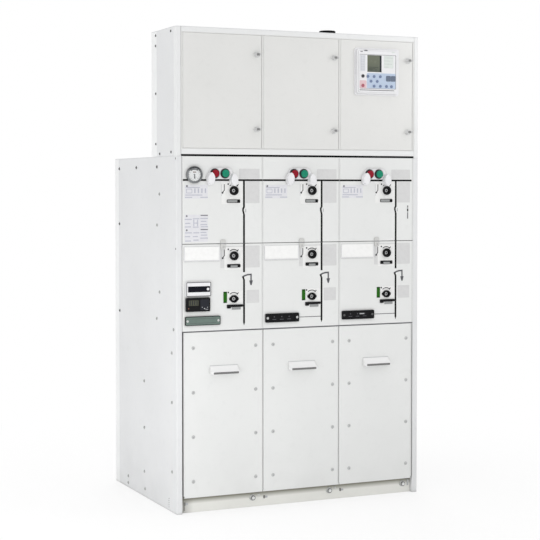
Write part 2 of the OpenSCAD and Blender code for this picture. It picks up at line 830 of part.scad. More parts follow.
// Round keys in three staggered rows, the bottom one with a fourth key, a pair of square keys beside them
// and two round keys at the left.
module relay_keys() {
    key_t = 2;
    color([0.55, 0.58, 0.62]) on_relay_face() {
        for (row = [0 : 2], c = [0 : row == 1 ? 1 : 2])
            translate([relay_face_w * 0.23 + (c + (2 - row) / 2) * key_pitch, 0,
                relay_face_h * (0.08 + 0.14 * row)]) facing() cylinder(d = key_d, h = key_t);
        translate([relay_face_w * 0.23 + 3.8 * key_pitch, 0, relay_face_h * 0.08]) facing()
            cylinder(d = key_d, h = key_t);
        for (c = [0, 1]) translate([relay_face_w * (0.73 + 0.13 * c), 0, relay_face_h * 0.23]) proud(key_t)
            rounded(relay_face_w * 0.12, relay_face_h * 0.16, 3);
        for (row = [0, 1]) translate([relay_face_w * 0.095, 0, relay_face_h * (0.09 + 0.275 * row)]) facing()
            cylinder(d = key_d * 1.15, h = key_t);
    }
}

module relay_screen() {
    edge = 0.3;
    color([0.42, 0.47, 0.36]) on_relay_face() translate([screen_x + edge, relay_sink, screen_z + edge])
        proud(relay_sink / 2) square([screen_w - 2 * edge, screen_h - 2 * edge]);
}

placed() plinth_rails();
placed() plinth_side_rails();
placed() floor_plates();
placed() cable_grommets();
placed() side_panels();
placed() rear_cover();
placed() roof_plate();
placed() front_crossbars();
placed() switch_tank();
placed() upper_front_panels();
placed() lower_front_panels();
placed() cable_covers();
placed() cover_handles();
placed() joint_strip();
placed() button_guards();
placed() button_collars();
placed() lever_bushings();
placed() lever_shafts();
placed() pressure_gauge();
placed() gauge_glass();
placed() voltage_indicators();
placed() display_unit();
placed() fault_indicator();
placed() label_holders();
placed() padlock_tabs();
placed() earth_bolts();
placed() open_button_1();
placed() close_button_1();
placed() open_button_2();
placed() close_button_2();
placed() open_button_3();
placed() close_button_3();
placed() compartment_posts();
placed() compartment_rails();
placed() compartment_mullions();
placed() compartment_sides();
placed() compartment_roof();
placed() compartment_floor();
placed() compartment_rear();
placed() hinge_pins();
placed() cable_inlet_cap();
placed() door_1();
placed() door_2();
placed() door_3();
placed() door_1_locks();
placed() door_2_locks();
placed() door_3_locks();
placed() relay_case();
placed() relay_front();
placed() relay_keys();
placed() relay_screen();
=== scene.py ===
"""Ring main unit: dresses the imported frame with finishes, prints, screws and small fittings."""
import math

import bmesh
import bpy
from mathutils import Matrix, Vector


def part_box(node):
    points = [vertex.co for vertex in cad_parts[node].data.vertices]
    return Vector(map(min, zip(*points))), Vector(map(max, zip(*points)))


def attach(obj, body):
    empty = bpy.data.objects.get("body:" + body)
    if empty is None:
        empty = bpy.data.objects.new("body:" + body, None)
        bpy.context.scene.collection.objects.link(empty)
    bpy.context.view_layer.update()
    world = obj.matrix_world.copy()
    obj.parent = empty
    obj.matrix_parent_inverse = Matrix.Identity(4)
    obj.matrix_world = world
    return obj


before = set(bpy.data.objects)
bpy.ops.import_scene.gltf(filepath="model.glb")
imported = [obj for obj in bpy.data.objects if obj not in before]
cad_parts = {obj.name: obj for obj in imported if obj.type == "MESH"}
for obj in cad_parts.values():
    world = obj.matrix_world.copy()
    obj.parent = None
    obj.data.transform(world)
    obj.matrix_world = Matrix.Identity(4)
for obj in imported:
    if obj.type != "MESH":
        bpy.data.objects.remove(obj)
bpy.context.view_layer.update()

# Places are millimetres from the left side, the front face and the floor
MM = 0.001
ORIGIN = Vector((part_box("side_panels")[0].x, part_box("upper_front_panels")[0].y, 0.0))


def at(x, y, z):
    return ORIGIN + Vector((x, y, z)) * MM


def along(k, distance):
    """A distance along one axis as a place in the frame, in metres."""
    return at(distance, distance, distance)[k]


def span(node):
    """Lowest and highest corner of a node in millimetres."""
    return [(corner - ORIGIN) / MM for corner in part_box(node)]


BAYS = 3
SEAM = 0.8
UPPER, LOWER, COVERS = span("upper_front_panels"), span("lower_front_panels"), span("cable_covers")
REAR, PLINTH_Y = span("rear_cover"), span("plinth_rails")[0].y
UNIT_W = span("side_panels")[1].x
BAY_W = (UPPER[1].x - UPPER[0].x + SEAM) / BAYS
DOORS = [span(f"door_{i + 1}") for i in range(BAYS)]


def bay_left(i):
    return UPPER[0].x - SEAM / 2 + i * BAY_W


LEFTS = [bay_left(i) for i in range(BAYS)]

# Flat outlines as lists of (u, v) points
LEAST_MITRE = 0.3


def arc(cu, cv, r, start, end, steps):
    turns = [math.radians(start + (end - start) * k / steps) for k in range(steps + 1)]
    return [(cu + r * math.cos(t), cv + r * math.sin(t)) for t in turns]


def rect(u0, u1, v0, v1, r=0.0, steps=4):
    """A rectangle, with round corners where a radius is given."""
    if r <= 0:
        return [(u0, v0), (u1, v0), (u1, v1), (u0, v1)]
    corners = ((u1 - r, v0 + r), (u1 - r, v1 - r), (u0 + r, v1 - r), (u0 + r, v0 + r))
    points = []
    for k, (cu, cv) in enumerate(corners):
        points += arc(cu, cv, r, 90 * k - 90, 90 * k, steps)
    return points


def band(cu, cv, r0, r1, start, end, steps=20):
    """Part of a ring between two radii."""
    return arc(cu, cv, r1, start, end, steps) + arc(cu, cv, r0, end, start, steps)


def disc(cu, cv, r, steps=24):
    return arc(cu, cv, r, 0, 360 - 360 / steps, steps - 1)


def stroke(points, width):
    """A line of even width along points, mitred at its corners."""
    sides = ([], [])
    for k, (u, v) in enumerate(points):
        before = Vector(points[k]) - Vector(points[k - 1]) if k else Vector(points[1]) - Vector(points[0])
        after = Vector(points[k + 1]) - Vector(points[k]) if k + 1 < len(points) else before
        mid = before.normalized() + after.normalized()
        normal = Vector((-mid.y, mid.x)).normalized()
        square = Vector((-after.y, after.x)).normalized()
        reach = width / 2 / max(normal.dot(square), LEAST_MITRE)
        sides[0].append((u + normal.x * reach, v + normal.y * reach))
        sides[1].append((u - normal.x * reach, v - normal.y * reach))
    return sides[0] + sides[1][::-1]


def moved(box, u, v=0.0):
    """A box of (u0, u1, v0, v1) at another place."""
    return box[0] + u, box[1] + u, box[2] + v, box[3] + v


def shifted(points, u, v=0.0):
    return [(u + pu, v + pv) for pu, pv in points]


def raised(outline, height):
    return [(u, v, height) for u, v in outline]


# Directions that a flat outline can face, as the ways of u, v and the height
FACINGS = {
    "front": ((1, 0, 0), (0, 0, 1), (0, -1, 0)), "rear": ((-1, 0, 0), (0, 0, 1), (0, 1, 0)),
    "left": ((0, -1, 0), (0, 0, 1), (-1, 0, 0)), "right": ((0, 1, 0), (0, 0, 1), (1, 0, 0)),
}
SHARP = math.radians(32)
LEAST_CORNER, LEAST_TIP = 0.05, 0.02
pieces = []


def added(name, data):
    """A new object in the scene."""
    thing = bpy.data.objects.new(name, data)
    bpy.context.scene.collection.objects.link(thing)
    return thing


class Shape:
    """A piece of closed solids in one mesh, which rides on a body and takes its finish from its look; its
    slot is not used.
    """

    def __init__(self, name, look, slot="front_paint", body="cabinet"):
        self.name, self.look, self.slot, self.body = name, look, slot, body
        self.bm = bmesh.new()
        pieces.append(self)

    def rows(self, rings, centre, facing):
        """Rows of points, one for each ring of (u, v, height)."""
        ways = [Vector(w) for w in FACINGS[facing]]
        rows = []
        for ring in rings:
            spots = [Vector(centre) + ways[0] * u + ways[1] * v + ways[2] * h for u, v, h in ring]
            rows.append([self.bm.verts.new(at(*p)) for p in spots])
        return rows

    def bridge(self, a, b):
        """A band of faces between two rows of points."""
        for k in range(len(a)):
            n = (k + 1) % len(a)
            self.bm.faces.new((a[k], a[n], b[n], b[k]))

    def skin(self, rings, centre=(0, 0, 0), facing="front"):
        """Joins equal rings in turn and closes both ends."""
        rows = self.rows(rings, centre, facing)
        for a, b in zip(rows, rows[1:]):
            self.bridge(a, b)
        self.bm.faces.new(rows[0][::-1])
        self.bm.faces.new(rows[-1])

    def prism(self, outline, low, high, centre=(0, 0, 0), facing="front"):
        self.skin([raised(outline, h) for h in (low, high)], centre, facing)

    def plate(self, u0, u1, v0, v1, low, high, r=1.0, chamfer=0.3, centre=(0, 0, 0), facing="front"):
        """A plate with round corners and a chamfered front edge."""
        steps = ((0, low), (0, high - chamfer), (chamfer, high))
        self.skin([raised(rect(u0 + s, u1 - s, v0 + s, v1 - s, max(r - s, LEAST_CORNER)), h)
                   for s, h in steps], centre, facing)

    def turned(self, profile, centre, facing="front", steps=24):
        """A profile of (radius, height) turned round its axis."""
        self.skin([raised(disc(0, 0, max(r, LEAST_TIP), steps), h) for r, h in profile], centre, facing)

    def stud(self, r, wall, crown, tip, centre, facing="front", steps=14):
        """A round stud: its wall's height, its crown's radius and height, and its tip's height."""
        self.turned([(r, 0), (r, wall), crown, (0, tip)], centre, facing, steps)

    def hoop(self, outer, inner, low, high, centre=(0, 0, 0), facing="front"):
        """A closed frame between two outlines with the same number of points."""
        turn = ((outer, low), (outer, high), (inner, high), (inner, low))
        rows = self.rows([raised(outline, h) for outline, h in turn], centre, facing)
        for a, b in zip(rows, rows[1:] + rows[:1]):
            self.bridge(a, b)

    def finish(self):
        bmesh.ops.recalc_face_normals(self.bm, faces=self.bm.faces)
        for face in self.bm.faces:
            face.smooth = True
        for edge in self.bm.edges:
            edge.smooth = len(edge.link_faces) == 2 and edge.calc_face_angle(0.0) < SHARP
        mesh = bpy.data.meshes.new(self.name)
        self.bm.to_mesh(mesh)
        self.bm.free()
        mesh.materials.append(self.look.material)
        piece = added(self.name, mesh)
        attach(piece, self.body)


# A pan head with a recess, on a thin washer, as shares of its radius and height
PAN_HEAD = ((1.3, 0), (1.3, 0.16), (1.22, 0.24), (1, 0.24), (1, 0.6), (0.86, 0.9), (0.5, 1), (0.42, 1),
            (0.36, 0.45), (0, 0.45))


def screw(shape, spot, r, h, facing="front"):
    shape.turned([(r * u, h * v) for u, v in PAN_HEAD], spot, facing, 18)


# Materials
def srgb(*levels):
    """A colour as a screen shows it, 0 to 255, as the linear values that a shader takes."""
    parts = [v / 255 for v in levels]
    return tuple(p / 12.92 if p <= 0.04045 else ((p + 0.055) / 1.055) ** 2.4 for p in parts) + (1.0,)


def shaded(colour, factor):
    return tuple(min(c * factor, 1.0) for c in colour[:3]) + (1.0,)


X, Y, Z = range(3)


class Tree:
    """A tree of shader nodes, whose sockets take values or the outputs of other nodes."""

    def __init__(self, owner):
        owner.use_nodes = True
        self.nodes, self.links = owner.node_tree.nodes, owner.node_tree.links

    def feed(self, socket, value):
        if isinstance(value, bpy.types.NodeSocket):
            self.links.new(value, socket)
        else:
            socket.default_value = value

    def node(self, kind, *values, **named):
        """A new node, with values for its first sockets and for those that are named."""
        node = self.nodes.new("ShaderNode" + kind)
        for key, value in [*enumerate(values), *named.items()]:
            self.feed(node.inputs[key], value)
        return node

    def math(self, kind, a, b):
        node = self.node("Math", a, b)
        node.operation = kind
        return node.outputs[0]


class Look(Tree):
    """A procedural material: a principled shader with colour, roughness and bump built up from nodes."""

    def __init__(self, name, colour, roughness, **sockets):
        self.material = bpy.data.materials.new(name)
        super().__init__(self.material)
        self.shader = self.nodes["Principled BSDF"]
        self.colour = colour
        self.feed(self.shader.inputs["Base Color"], colour)
        self.rough(roughness)
        for socket, value in sockets.items():
            self.feed(self.shader.inputs[socket.replace("_", " ")], value)
        self.place = self.node("TexCoord").outputs["Object"]

    def spread(self, value, low, high, to_low, to_high):
        """Stretches the part of value between low and high over a new range."""
        return self.node("MapRange", value, low, high, to_low, to_high).outputs[0]

    def noise(self, scale, detail=2.0, stretch=None):
        place = self.node("Mapping", Vector=self.place, Scale=stretch).outputs[0] if stretch else self.place
        return self.node("TexNoise", Vector=place, Scale=scale, Detail=detail).outputs[0]

    def patches(self, scale, detail, low, high):
        """Noise as patches: 0 below low, 1 above high."""
        return self.spread(self.noise(scale, detail), low, high, 0.0, 1.0)

    def cells(self, scale):
        cells = self.node("TexVoronoi", Vector=self.place, Scale=scale)
        return self.node("RGBToBW", cells.outputs["Color"]).outputs[0]

    def axis(self, k):
        return self.node("SeparateXYZ", self.place).outputs[k]

    def within(self, k, low, high):
        """1 between two places along an axis, in millimetres, and 0 elsewhere."""
        return self.math("MULTIPLY", self.math("GREATER_THAN", self.axis(k), along(k, low)),
                         self.math("LESS_THAN", self.axis(k), along(k, high)))

    def fade(self, k, start, end, first=1.0, last=0.0):
        """Goes from first to last between two places along an axis, in millimetres."""
        return self.spread(self.axis(k), along(k, start), along(k, end), first, last)

    def edges(self, radius):
        """1 along edges, 0 on flat faces."""
        bevel = self.node("Bevel", Radius=radius)
        bevel.samples = 4
        dot = self.node("VectorMath", bevel.outputs[0], self.node("NewGeometry").outputs["True Normal"])
        dot.operation = "DOT_PRODUCT"
        return self.spread(dot.outputs["Value"], 0.8, 0.98, 1.0, 0.0)

    def crevices(self, reach):
        """1 deep in corners, 0 in the open."""
        node = self.node("AmbientOcclusion", Distance=reach)
        node.samples = 6
        return self.spread(node.outputs["AO"], 0.35, 0.95, 1.0, 0.0)

    def tint(self, mask, colour, most=1.0):
        """Lays a colour over the look where mask is 1, by the share most."""
        mix = self.node("Mix")
        mix.data_type = "RGBA"
        self.feed(mix.inputs[0], self.spread(mask, 0.0, 1.0, 0.0, most))
        self.feed(mix.inputs[6], self.colour)
        self.feed(mix.inputs[7], colour)
        self.colour = mix.outputs[2]
        self.feed(self.shader.inputs["Base Color"], self.colour)

    def rough(self, value):
        self.feed(self.shader.inputs["Roughness"], value)

    def uneven(self, noise, smooth, dull):
        """Roughness between two values, spread by noise."""
        self.rough(self.spread(noise, 0.3, 0.75, smooth, dull))

    def bump(self, height, strength, distance):
        node = self.node("Bump", Strength=strength, Distance=distance, Height=height)
        self.feed(self.shader.inputs["Normal"], node.outputs[0])


# Colour of dust and stains, and also of painted shade in joints and corners
DIRT_AND_SHADE = srgb(96, 94, 88)
DUST_TOP = 0.3


def powder_coat(name, colour, dust, joint_shade=0.35):
    """Baked paint on sheet steel: a fine orange peel, uneven gloss, edges lightened as wear and as painted
    highlight, and painted shade in the joints.
    """
    look = Look(name, colour, 0.4)
    look.tint(look.patches(2.6, 3.0, 0.4, 0.7), shaded(colour, 0.93), 0.5)
    look.tint(look.patches(38.0, 4.0, 0.56, 0.74), shaded(colour, 0.9), 0.25)
    look.tint(look.edges(0.0012), shaded(colour, 1.1), 0.6)
    if joint_shade:
        # Painted shade in the joints, darkest where the occlusion is deepest
        look.tint(look.crevices(0.012), DIRT_AND_SHADE, joint_shade)
    low = look.spread(look.axis(Z), 0.0, DUST_TOP, 1.0, 0.0)
    specks = look.spread(look.noise(9.0, 5.0), 0.35, 0.7, 0.3, 1.0)
    look.tint(look.math("MULTIPLY", low, specks), DIRT_AND_SHADE, dust)
    look.uneven(look.noise(6.0, 5.0), 0.34, 0.5)
    look.bump(look.noise(620.0, 2.0), 0.12, 0.0003)
    return look


def plated(name, colour, roughness, scale, stretch=(1, 1, 1)):
    """Plated or drawn metal with a fine grain, painted shade in its hollows and edges lightened as wear and
    as painted highlight.
    """
    look = Look(name, colour, roughness, Metallic=1.0)
    grain = look.noise(scale, 3.0, stretch)
    look.tint(look.spread(grain, 0.35, 0.7, 0.0, 1.0), shaded(colour, 0.78), 0.6)
    look.tint(look.crevices(0.004), shaded(colour, 0.25), 0.7)
    look.tint(look.edges(0.0006), shaded(colour, 1.25), 0.5)
    look.uneven(grain, roughness - 0.08, roughness + 0.14)
    look.bump(grain, 0.1, 0.0002)
    return look


def galvanised_sheet(name, colour):
    """Zinc with its crystals and stains, and painted shade in its corners."""
    look = Look(name, colour, 0.45, Metallic=0.8)
    look.tint(look.cells(70.0), shaded(colour, 0.7), 0.5)
    look.tint(look.patches(5.0, 4.0, 0.4, 0.7), DIRT_AND_SHADE, 0.3)
    look.tint(look.crevices(0.02), DIRT_AND_SHADE, 0.4)
    look.rough(look.spread(look.cells(70.0), 0.0, 1.0, 0.36, 0.56))
    look.bump(look.noise(300.0, 3.0), 0.1, 0.0002)
    return look


def moulded(name, colour, roughness, wear_and_highlight, shine=0.5):
    """Moulded plastic with a fine texture, edges lightened as rubbing and as painted highlight, and painted
    shade in its hollows.
    """
    look = Look(name, colour, roughness, Specular_IOR_Level=shine)
    look.tint(look.patches(24.0, 4.0, 0.42, 0.72), shaded(colour, 0.86), 0.4)
    look.tint(look.edges(0.0008), shaded(colour, wear_and_highlight), 0.5)
    look.tint(look.crevices(0.006), shaded(colour, 0.4), 0.5)
    look.uneven(look.noise(60.0, 4.0), roughness - 0.05, roughness + 0.1)
    look.bump(look.noise(1500.0, 2.0), 0.12, 0.0002)
    return look


def ink(name, colour, roughness=0.5):
    """Print on a label film, a little uneven."""
    look = Look(name, colour, roughness, Specular_IOR_Level=0.12)
    look.tint(look.patches(70.0, 4.0, 0.45, 0.75), shaded(colour, 0.88), 0.4)
    look.uneven(look.noise(20.0, 4.0), roughness - 0.08, roughness + 0.1)
    look.bump(look.noise(900.0, 2.0), 0.06, 0.0001)
    return look


# Paints, with the share of dust near the floor and of painted shade in the joints
# Painted light and shade: the sides, roofs, doors and tabs take darker copies of the front paint, and the
# frame, hoods and plinth lighter ones
front_paint = powder_coat("front_paint", srgb(231, 232, 231), 0.10)
cabinet_paint = powder_coat("cabinet_paint", srgb(227, 228, 229), 0.12)
door_paint = powder_coat("door_paint", srgb(227, 227, 225), 0.0, 0.0)
rear_paint = powder_coat("rear_paint", srgb(243, 244, 244), 0.10)
plinth_paint = powder_coat("plinth_paint", srgb(235, 235, 230), 0.04, 0.0)
tank_paint = powder_coat("tank_paint", srgb(150, 152, 152), 0.10)
frame_paint = powder_coat("frame_paint", srgb(234, 235, 235), 0.0, 0.1)
hood_paint = powder_coat("hood_paint", srgb(241, 241, 241), 0.0, 0.15)
tab_paint = powder_coat("tab_paint", srgb(206, 206, 204), 0.0)

# Painted shade darkens the plinth under the covers and at its left end
PLINTH_SHADE, PLINTH_DARK_Z, PLINTH_DARK_X = srgb(112, 110, 92), (32, 51), (26, 72)
plinth_paint.tint(plinth_paint.fade(Z, *PLINTH_DARK_Z, 0.0, 1.0), PLINTH_SHADE, 0.85)
plinth_paint.tint(plinth_paint.fade(X, *PLINTH_DARK_X), DIRT_AND_SHADE, 0.5)

# Metals
galvanised = galvanised_sheet("galvanised", srgb(186, 190, 192))
stainless = plated("stainless", srgb(196, 197, 198), 0.32, 120.0, (1, 1, 30))
gauge_metal = plated("gauge_metal", srgb(140, 142, 144), 0.36, 300.0)
shaft_steel = plated("shaft_steel", srgb(196, 197, 198), 0.4, 500.0)
zinc = plated("zinc", srgb(188, 190, 188), 0.42, 420.0)
bright_zinc = plated("bright_zinc", srgb(226, 227, 226), 0.4, 420.0)
mid_zinc = plated("mid_zinc", srgb(204, 205, 205), 0.5, 420.0)
dark_zinc = plated("dark_zinc", srgb(112, 113, 113), 0.5, 420.0)
bar_metal = plated("bar_metal", srgb(158, 160, 160), 0.45, 420.0)

# Plastics, rubber and glass: roughness, lightness of edges from wear and painted highlight, and shine
rubber = moulded("rubber", srgb(14, 14, 16), 0.7, 1.5, 0.1)
white_plastic = moulded("white_plastic", srgb(236, 236, 238), 0.42, 1.05)
black_plastic = moulded("black_plastic", srgb(18, 18, 20), 0.45, 2.2, 0.14)
red_plastic = moulded("red_plastic", srgb(146, 10, 34), 0.34, 1.4, 0.22)
green_plastic = moulded("green_plastic", srgb(20, 136, 106), 0.34, 1.4, 0.22)
collar_grey = moulded("collar_grey", srgb(44, 50, 50), 0.4, 1.4, 0.3)
key_plastic = moulded("key_plastic", srgb(112, 128, 160), 0.45, 1.2)
grip_and_shade_grey = moulded("grip_and_shade_grey", srgb(112, 112, 112), 0.6, 1.2)
bracket_grey = moulded("bracket_grey", srgb(124, 124, 120), 0.5, 1.2)
edging = moulded("edging", srgb(232, 233, 232), 0.6, 1.05)
lock_metal = moulded("lock_metal", srgb(224, 225, 224), 0.45, 1.05)
screen_glass = moulded("screen_glass", srgb(112, 116, 98), 0.2, 1.1)
lcd_glass = moulded("lcd_glass", srgb(106, 111, 95), 0.22, 1.1, 0.25)
navy_glass = moulded("navy_glass", srgb(12, 13, 24), 0.16, 1.3, 0.12)
olive_glass = moulded("olive_glass", srgb(84, 86, 72), 0.22, 1.2, 0.2)
clear_glass = Look("clear_glass", srgb(235, 240, 242), 0.06, Alpha=0.14)
clear_glass.rough(clear_glass.spread(clear_glass.noise(90.0, 4.0), 0.4, 0.75, 0.04, 0.16))

# Inks and films
ink_black = ink("ink_black", srgb(12, 12, 14))
ink_deep = ink("ink_deep", srgb(52, 52, 56))
ink_dark = ink("ink_dark", srgb(92, 92, 96))
ink_head = ink("ink_head", srgb(126, 126, 132))
ink_grey = ink("ink_grey", srgb(186, 188, 190))
ink_pale = ink("ink_pale", srgb(190, 191, 202))
ink_field = ink("ink_field", srgb(216, 216, 216))
ink_block = ink("ink_block", srgb(226, 226, 230))
ink_white = ink("ink_white", srgb(238, 238, 237))
ink_green = ink("ink_green", srgb(38, 98, 22))
ink_leaf = ink("ink_leaf", srgb(24, 66, 14))
card_white = ink("card_white", srgb(246, 246, 245), 0.6)
sage_film = ink("sage_film", srgb(110, 126, 119), 0.4)
slate_film = ink("slate_film", srgb(42, 44, 50), 0.4)
sky_film = ink("sky_film", srgb(192, 206, 226), 0.45)
pink_film = ink("pink_film", srgb(228, 198, 202), 0.45)
lilac_film = ink("lilac_film", srgb(216, 218, 224), 0.45)
mint_film = ink("mint_film", srgb(222, 228, 224), 0.45)
rust_film = ink("rust_film", srgb(128, 92, 76), 0.45)

# The wings of the door locks are darker than their flanges, and darkest at the core, painted shade of a
# keyway
LOCK_WING, LOCK_CORE = 13.4, 6.0
lock_wing = lock_metal.math("LESS_THAN", lock_metal.axis(Y), along(Y, -LOCK_WING))
lock_metal.tint(lock_wing, srgb(192, 192, 192))
for i in range(BAYS):
    core_x = sum(corner.x for corner in span(f"door_{i + 1}_locks")) / 2
    core = lock_metal.within(X, core_x - LOCK_CORE, core_x + LOCK_CORE)
    lock_metal.tint(lock_metal.math("MULTIPLY", lock_wing, core), srgb(126, 126, 126))

# The relay's operating face, from the lower left corner of the relay's front, and its keys of other colours
RELAY = span("relay_front")
RELAY_X, RELAY_Z = RELAY[0].x + 16.5, RELAY[0].z + 25.0
RELAY_W, RELAY_H = 161.0, 133.0
RELAY_FACE, RELAY_SCREEN, RELAY_RIM = 12.0, 11.0, 13.0
LCD_FADE = (RELAY_Z + 72, RELAY_Z + 103)
RELAY_KEYS = (
    (6, 26, 40, 58, srgb(38, 40, 46)),
    (5, 26, 3, 21, srgb(170, 92, 106)),
    (116, 160, 29, 54, srgb(96, 108, 128)),
)
for x0, x1, z0, z1, colour in RELAY_KEYS:
    wide = key_plastic.within(X, RELAY_X + x0, RELAY_X + x1)
    tall = key_plastic.within(Z, RELAY_Z + z0, RELAY_Z + z1)
    key_plastic.tint(key_plastic.math("MULTIPLY", wide, tall), colour)
lcd_glass.tint(lcd_glass.fade(Z, *LCD_FADE), srgb(70, 78, 72), 0.5)

# Painted shade darkens the gauge's ring at its top
GAUGE = span("pressure_gauge")
GAUGE_X, GAUGE_Z = (GAUGE[0].x + GAUGE[1].x) / 2, (GAUGE[0].z + GAUGE[1].z) / 2
GAUGE_FADE = (GAUGE_Z + 14, GAUGE_Z + 24)
gauge_metal.tint(gauge_metal.fade(Z, *GAUGE_FADE, 0.0, 1.0), srgb(52, 52, 54), 0.85)

# Looks and edges of the solids
NODE_LOOKS = {
    front_paint: ("upper_front_panels", "lower_front_panels", "cable_covers"),
    hood_paint: ("cover_handles",),
    tab_paint: ("padlock_tabs",),
    door_paint: ("door_1", "door_2", "door_3"),
    cabinet_paint: ("side_panels", "roof_plate", "compartment_sides", "compartment_roof"),
    frame_paint: ("compartment_posts", "compartment_rails"),
    rear_paint: ("rear_cover", "compartment_rear"),
    plinth_paint: ("plinth_rails", "plinth_side_rails"),
    tank_paint: ("switch_tank",),
    galvanised: ("floor_plates", "front_crossbars", "compartment_floor", "compartment_mullions"),
    stainless: ("hinge_pins",),
    shaft_steel: ("lever_shafts",),
    gauge_metal: ("pressure_gauge",),
    bright_zinc: ("earth_bolts",),
    lock_metal: ("door_1_locks", "door_2_locks", "door_3_locks"),
    rubber: ("cable_grommets", "joint_strip", "cable_inlet_cap"),
    white_plastic: ("display_unit", "label_holders", "relay_front", "button_guards"),
    collar_grey: ("button_collars",),
    black_plastic: ("lever_bushings", "voltage_indicators", "fault_indicator", "relay_case"),
    red_plastic: tuple(f"open_button_{i + 1}" for i in range(BAYS)),
    green_plastic: tuple(f"close_button_{i + 1}" for i in range(BAYS)),
    key_plastic: ("relay_keys",),
    screen_glass: ("relay_screen",),
    clear_glass: ("gauge_glass",),
}
EDGE_W, DOOR_EDGE_W, WELD_GAP = 0.7 * MM, 0.25 * MM, 0.01 * MM
BEVEL_ANGLE = math.radians(38)


def refine(node, width):
    """Closes the seams of the imported mesh and gives its edges a small radius, by modifiers alone."""
    weld = node.modifiers.new("weld", "WELD")
    weld.merge_threshold = WELD_GAP
    bevel = node.modifiers.new("bevel", "BEVEL")
    bevel.width, bevel.segments = width, 2
    bevel.limit_method, bevel.angle_limit = "ANGLE", BEVEL_ANGLE
    bevel.harden_normals = False
    smooth = node.modifiers.new("normals", "WEIGHTED_NORMAL")
    smooth.keep_sharp = True


for look, names in NODE_LOOKS.items():
    for name in names:
        for material_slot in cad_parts[name].material_slots:
            material_slot.material = look.material
        refine(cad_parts[name], DOOR_EDGE_W if look is door_paint else EDGE_W)

# Mimic diagram, in millimetres from each bay's left edge and from the floor
FILM, LAYER, LINE_T, OVER_T = 0.2, 0.3, 0.4, 0.45
BUS_Z, BUS_W, BUS_START, BUS_END = 1240.4, 6.6, 3.0, 6.0
MIMIC_X, MIMIC_W, MIMIC_END, TIP_H = 248.0, 7.4, 694.0, 11.0
BREAK_TOP, BREAK_LOW, EARTH_TOP, EARTH_LOW = 1138.0, 1112.0, 894.5, 867.0
# Switch blade and its contact, from the top of their break
BLADE, BLADE_W = ((0, 1), (-3.8, -5), (-3.8, -12), (0, -27)), 6.6
CONTACT = (5.4, 8.6, -18.5, -6)
# Earth blade, the branch from its heel and the bell at the branch's end, from the low end of their break
HEEL_R, EARTH_BLADE, EARTH_BLADE_W = 4.2, ((-4, 9.5), (0, -2)), 6.66
BRANCH, BRANCH_W = ((-4, 9.5), (2, 14.2), (14.8, 17.7), (28.8, 18.5), (28.8, -5.4)), 5.4
BELL_X, BELL = 28.8, ((7.2, -4.4), (6.4, -7.9), (3.2, -19.4), (1.4, -22.4))

mimic = Shape("mimic_lines", ink_black)
branches = Shape("printed_branches", ink_dark)
contacts = Shape("mimic_contacts", ink_grey)
for i, left in enumerate(LEFTS):
    x = left + MIMIC_X
    line = (x - MIMIC_W / 2, x + MIMIC_W / 2)
    start = left + (BUS_START if i == 0 else SEAM / 2)
    end = left + BAY_W - (BUS_END if i == BAYS - 1 else SEAM / 2)
    mimic.prism(rect(start, end, BUS_Z - BUS_W / 2, BUS_Z + BUS_W / 2), 0, LINE_T)
    for low, high in ((BREAK_TOP, BUS_Z - BUS_W / 2), (UPPER[0].z, BREAK_LOW), (EARTH_TOP, LOWER[1].z)):
        mimic.prism(rect(*line, low, high), 0, LINE_T)
    mimic.prism(stroke(shifted(BLADE, x, BREAK_TOP), BLADE_W), 0, OVER_T)
    contacts.prism(rect(*moved(CONTACT, x, BREAK_TOP)), 0, LINE_T)
    earth_blade = shifted(EARTH_BLADE, x, EARTH_LOW)
    mimic.prism(stroke(earth_blade, EARTH_BLADE_W), 0, OVER_T)
    branches.prism(disc(*earth_blade[0], HEEL_R, 16), 0, LINE_T)
    branches.prism(stroke(shifted(BRANCH, x, EARTH_LOW), BRANCH_W), 0, LINE_T)
    bell = [(BELL_X - u, v) for u, v in BELL] + [(BELL_X + u, v) for u, v in BELL[::-1]]
    branches.prism(shifted(bell, x, EARTH_LOW), 0, OVER_T)
    mimic.prism([(line[0], EARTH_LOW), (line[0], MIMIC_END + TIP_H), (x, MIMIC_END),
                 (line[1], MIMIC_END + TIP_H), (line[1], EARTH_LOW)], 0, LINE_T)

# Printed fields and windows, with holes round the lever sockets of as many points as a round rectangle has
FIELDS = ((255, 312, 1154, 1236), (228, 312, 1246, 1283), (258, 310, 778, 827))
MIDDLE_FIELD, FIELD_R, FIELD_EDGE = (152, 312, 912, 994), 2.0, 0.05
WINDOWS, WINDOW_R = ((156, 243, 1150, 1236), (168, 243, 904, 990), (183, 243, 780, 826)), 3.0
SOCKET_X, SOCKETS = 206.0, (1201.0, 957.0, 795.5)
HOLE_R, HOLE_START, HOLE_END, HOLE_STEPS = 12.0, -81, 261, 19
fields = Shape("printed_fields", ink_field)
windows = Shape("printed_windows", ink_white)
for left in LEFTS:
    for box in FIELDS:
        fields.plate(*moved(box, left), 0, FILM, FIELD_R, FIELD_EDGE)
    holes = [arc(left + SOCKET_X, z, HOLE_R, HOLE_START, HOLE_END, HOLE_STEPS) for z in SOCKETS]
    fields.hoop(rect(*moved(MIDDLE_FIELD, left), FIELD_R), holes[1], 0, FILM)
    for box, hole in zip(WINDOWS, holes):
        windows.hoop(rect(*moved(box, left), WINDOW_R), hole, 0, LAYER)

